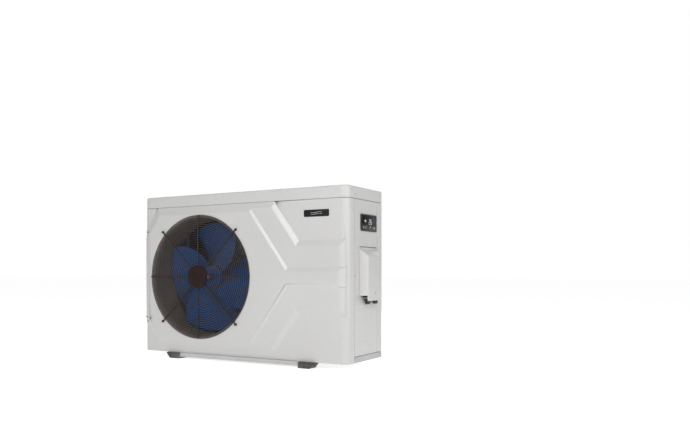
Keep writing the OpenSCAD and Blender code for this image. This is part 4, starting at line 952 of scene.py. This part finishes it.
def makeFigure(name, mark, y, z, high):
    wide, thick = high * display["figureWide"], high * display["figureLine"]
    bars = []
    for index, ((across, up, level), lit) in enumerate(zip(barSpots, figureBars[mark])):
        if lit:
            bars.append(lightBar(name + "Bar" + str(index), y + across * wide / 2, z + up * high / 2,
                                 wide - thick if level else thick, thick if level else high / 2 - thick))
    return bars


def makeSigns():
    midY, midZ = (glassLow.y + glassHigh.y) / 2, (glassLow.z + glassHigh.z) / 2
    signs = []
    for name, (mark, y, z, high) in display["figures"].items():
        signs += makeFigure(name, mark, midY + y, midZ + z, high)
    for index in range(display["levels"]):
        y = midY + display["levelStart"] + index * display["levelStep"]
        signs.append(lightBar("level" + str(index), y, midZ + display["levelUp"], display["levelWide"],
                              display["levelLow"] + index * display["levelRise"]))
    for index, y in enumerate(display["keys"]):
        spot = (glassHigh.x - display["keySink"], midY + y, midZ - display["keyDown"])
        signs.append(ring("keyRing" + str(index), spot, (1, 0, 0), display["keyRadius"],
                          display["keyLine"], display["keyAround"], display["keyAcross"]))
    return smooth(join("displaySigns", signs), display["signSmooth"])


finishPiece(makeSigns(), "display_black", "root", finish="display_light")
print("display made")

plateLow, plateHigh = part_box("name_plate")
# the plate carries two plain ripples
plate = {"corner": 0.004, "cornerSteps": 6, "edge": 0.0004, "waveWide": 0.044, "waveLength": 0.044,
         "waveHeight": 0.0014, "waveLine": 0.0006, "waveThick": 0.0002, "waveSink": 0.00005,
         "waveApart": 0.0028, "waveSteps": 48, "edgeAngle": 35, "smooth": 30}


def makePlate():
    panel = block("namePlate", plateLow, plateHigh)
    edit(panel, "EDGE")
    pick(panel, "edges", lambda edge: runsAlong(edge, "y", near))
    bpy.ops.mesh.bevel(offset=plate["corner"], segments=plate["cornerSteps"], affect="EDGES")
    done()
    soften(panel, plate["edge"], 2, plate["edgeAngle"])
    return smooth(panel, plate["smooth"])


def makeWave(name, up):
    centre = (plateLow + plateHigh) / 2
    clearSelection()
    bpy.ops.mesh.primitive_grid_add(x_subdivisions=plate["waveSteps"], y_subdivisions=1, size=1,
                                    location=(centre.x, plateLow.y + plate["waveSink"], centre.z + up),
                                    rotation=(math.radians(90), 0, 0))
    bpy.context.active_object.scale = (plate["waveWide"], plate["waveLine"], 1)
    strip = named(name)
    for vert in strip.data.vertices:
        vert.co.z += plate["waveHeight"] * math.sin(
            (vert.co.x - centre.x) / plate["waveLength"] * 2 * math.pi)
    return modify(strip, "SOLIDIFY", thickness=plate["waveThick"], offset=0)


finishPiece(makePlate(), "plate_black", "root", "name_plate")
waves = join("plateWaves", [makeWave("waveA", plate["waveApart"]), makeWave("waveB", -plate["waveApart"])])
finishPiece(waves, "plate_black", "root", finish="display_light")
print("name plate made")


print("done")
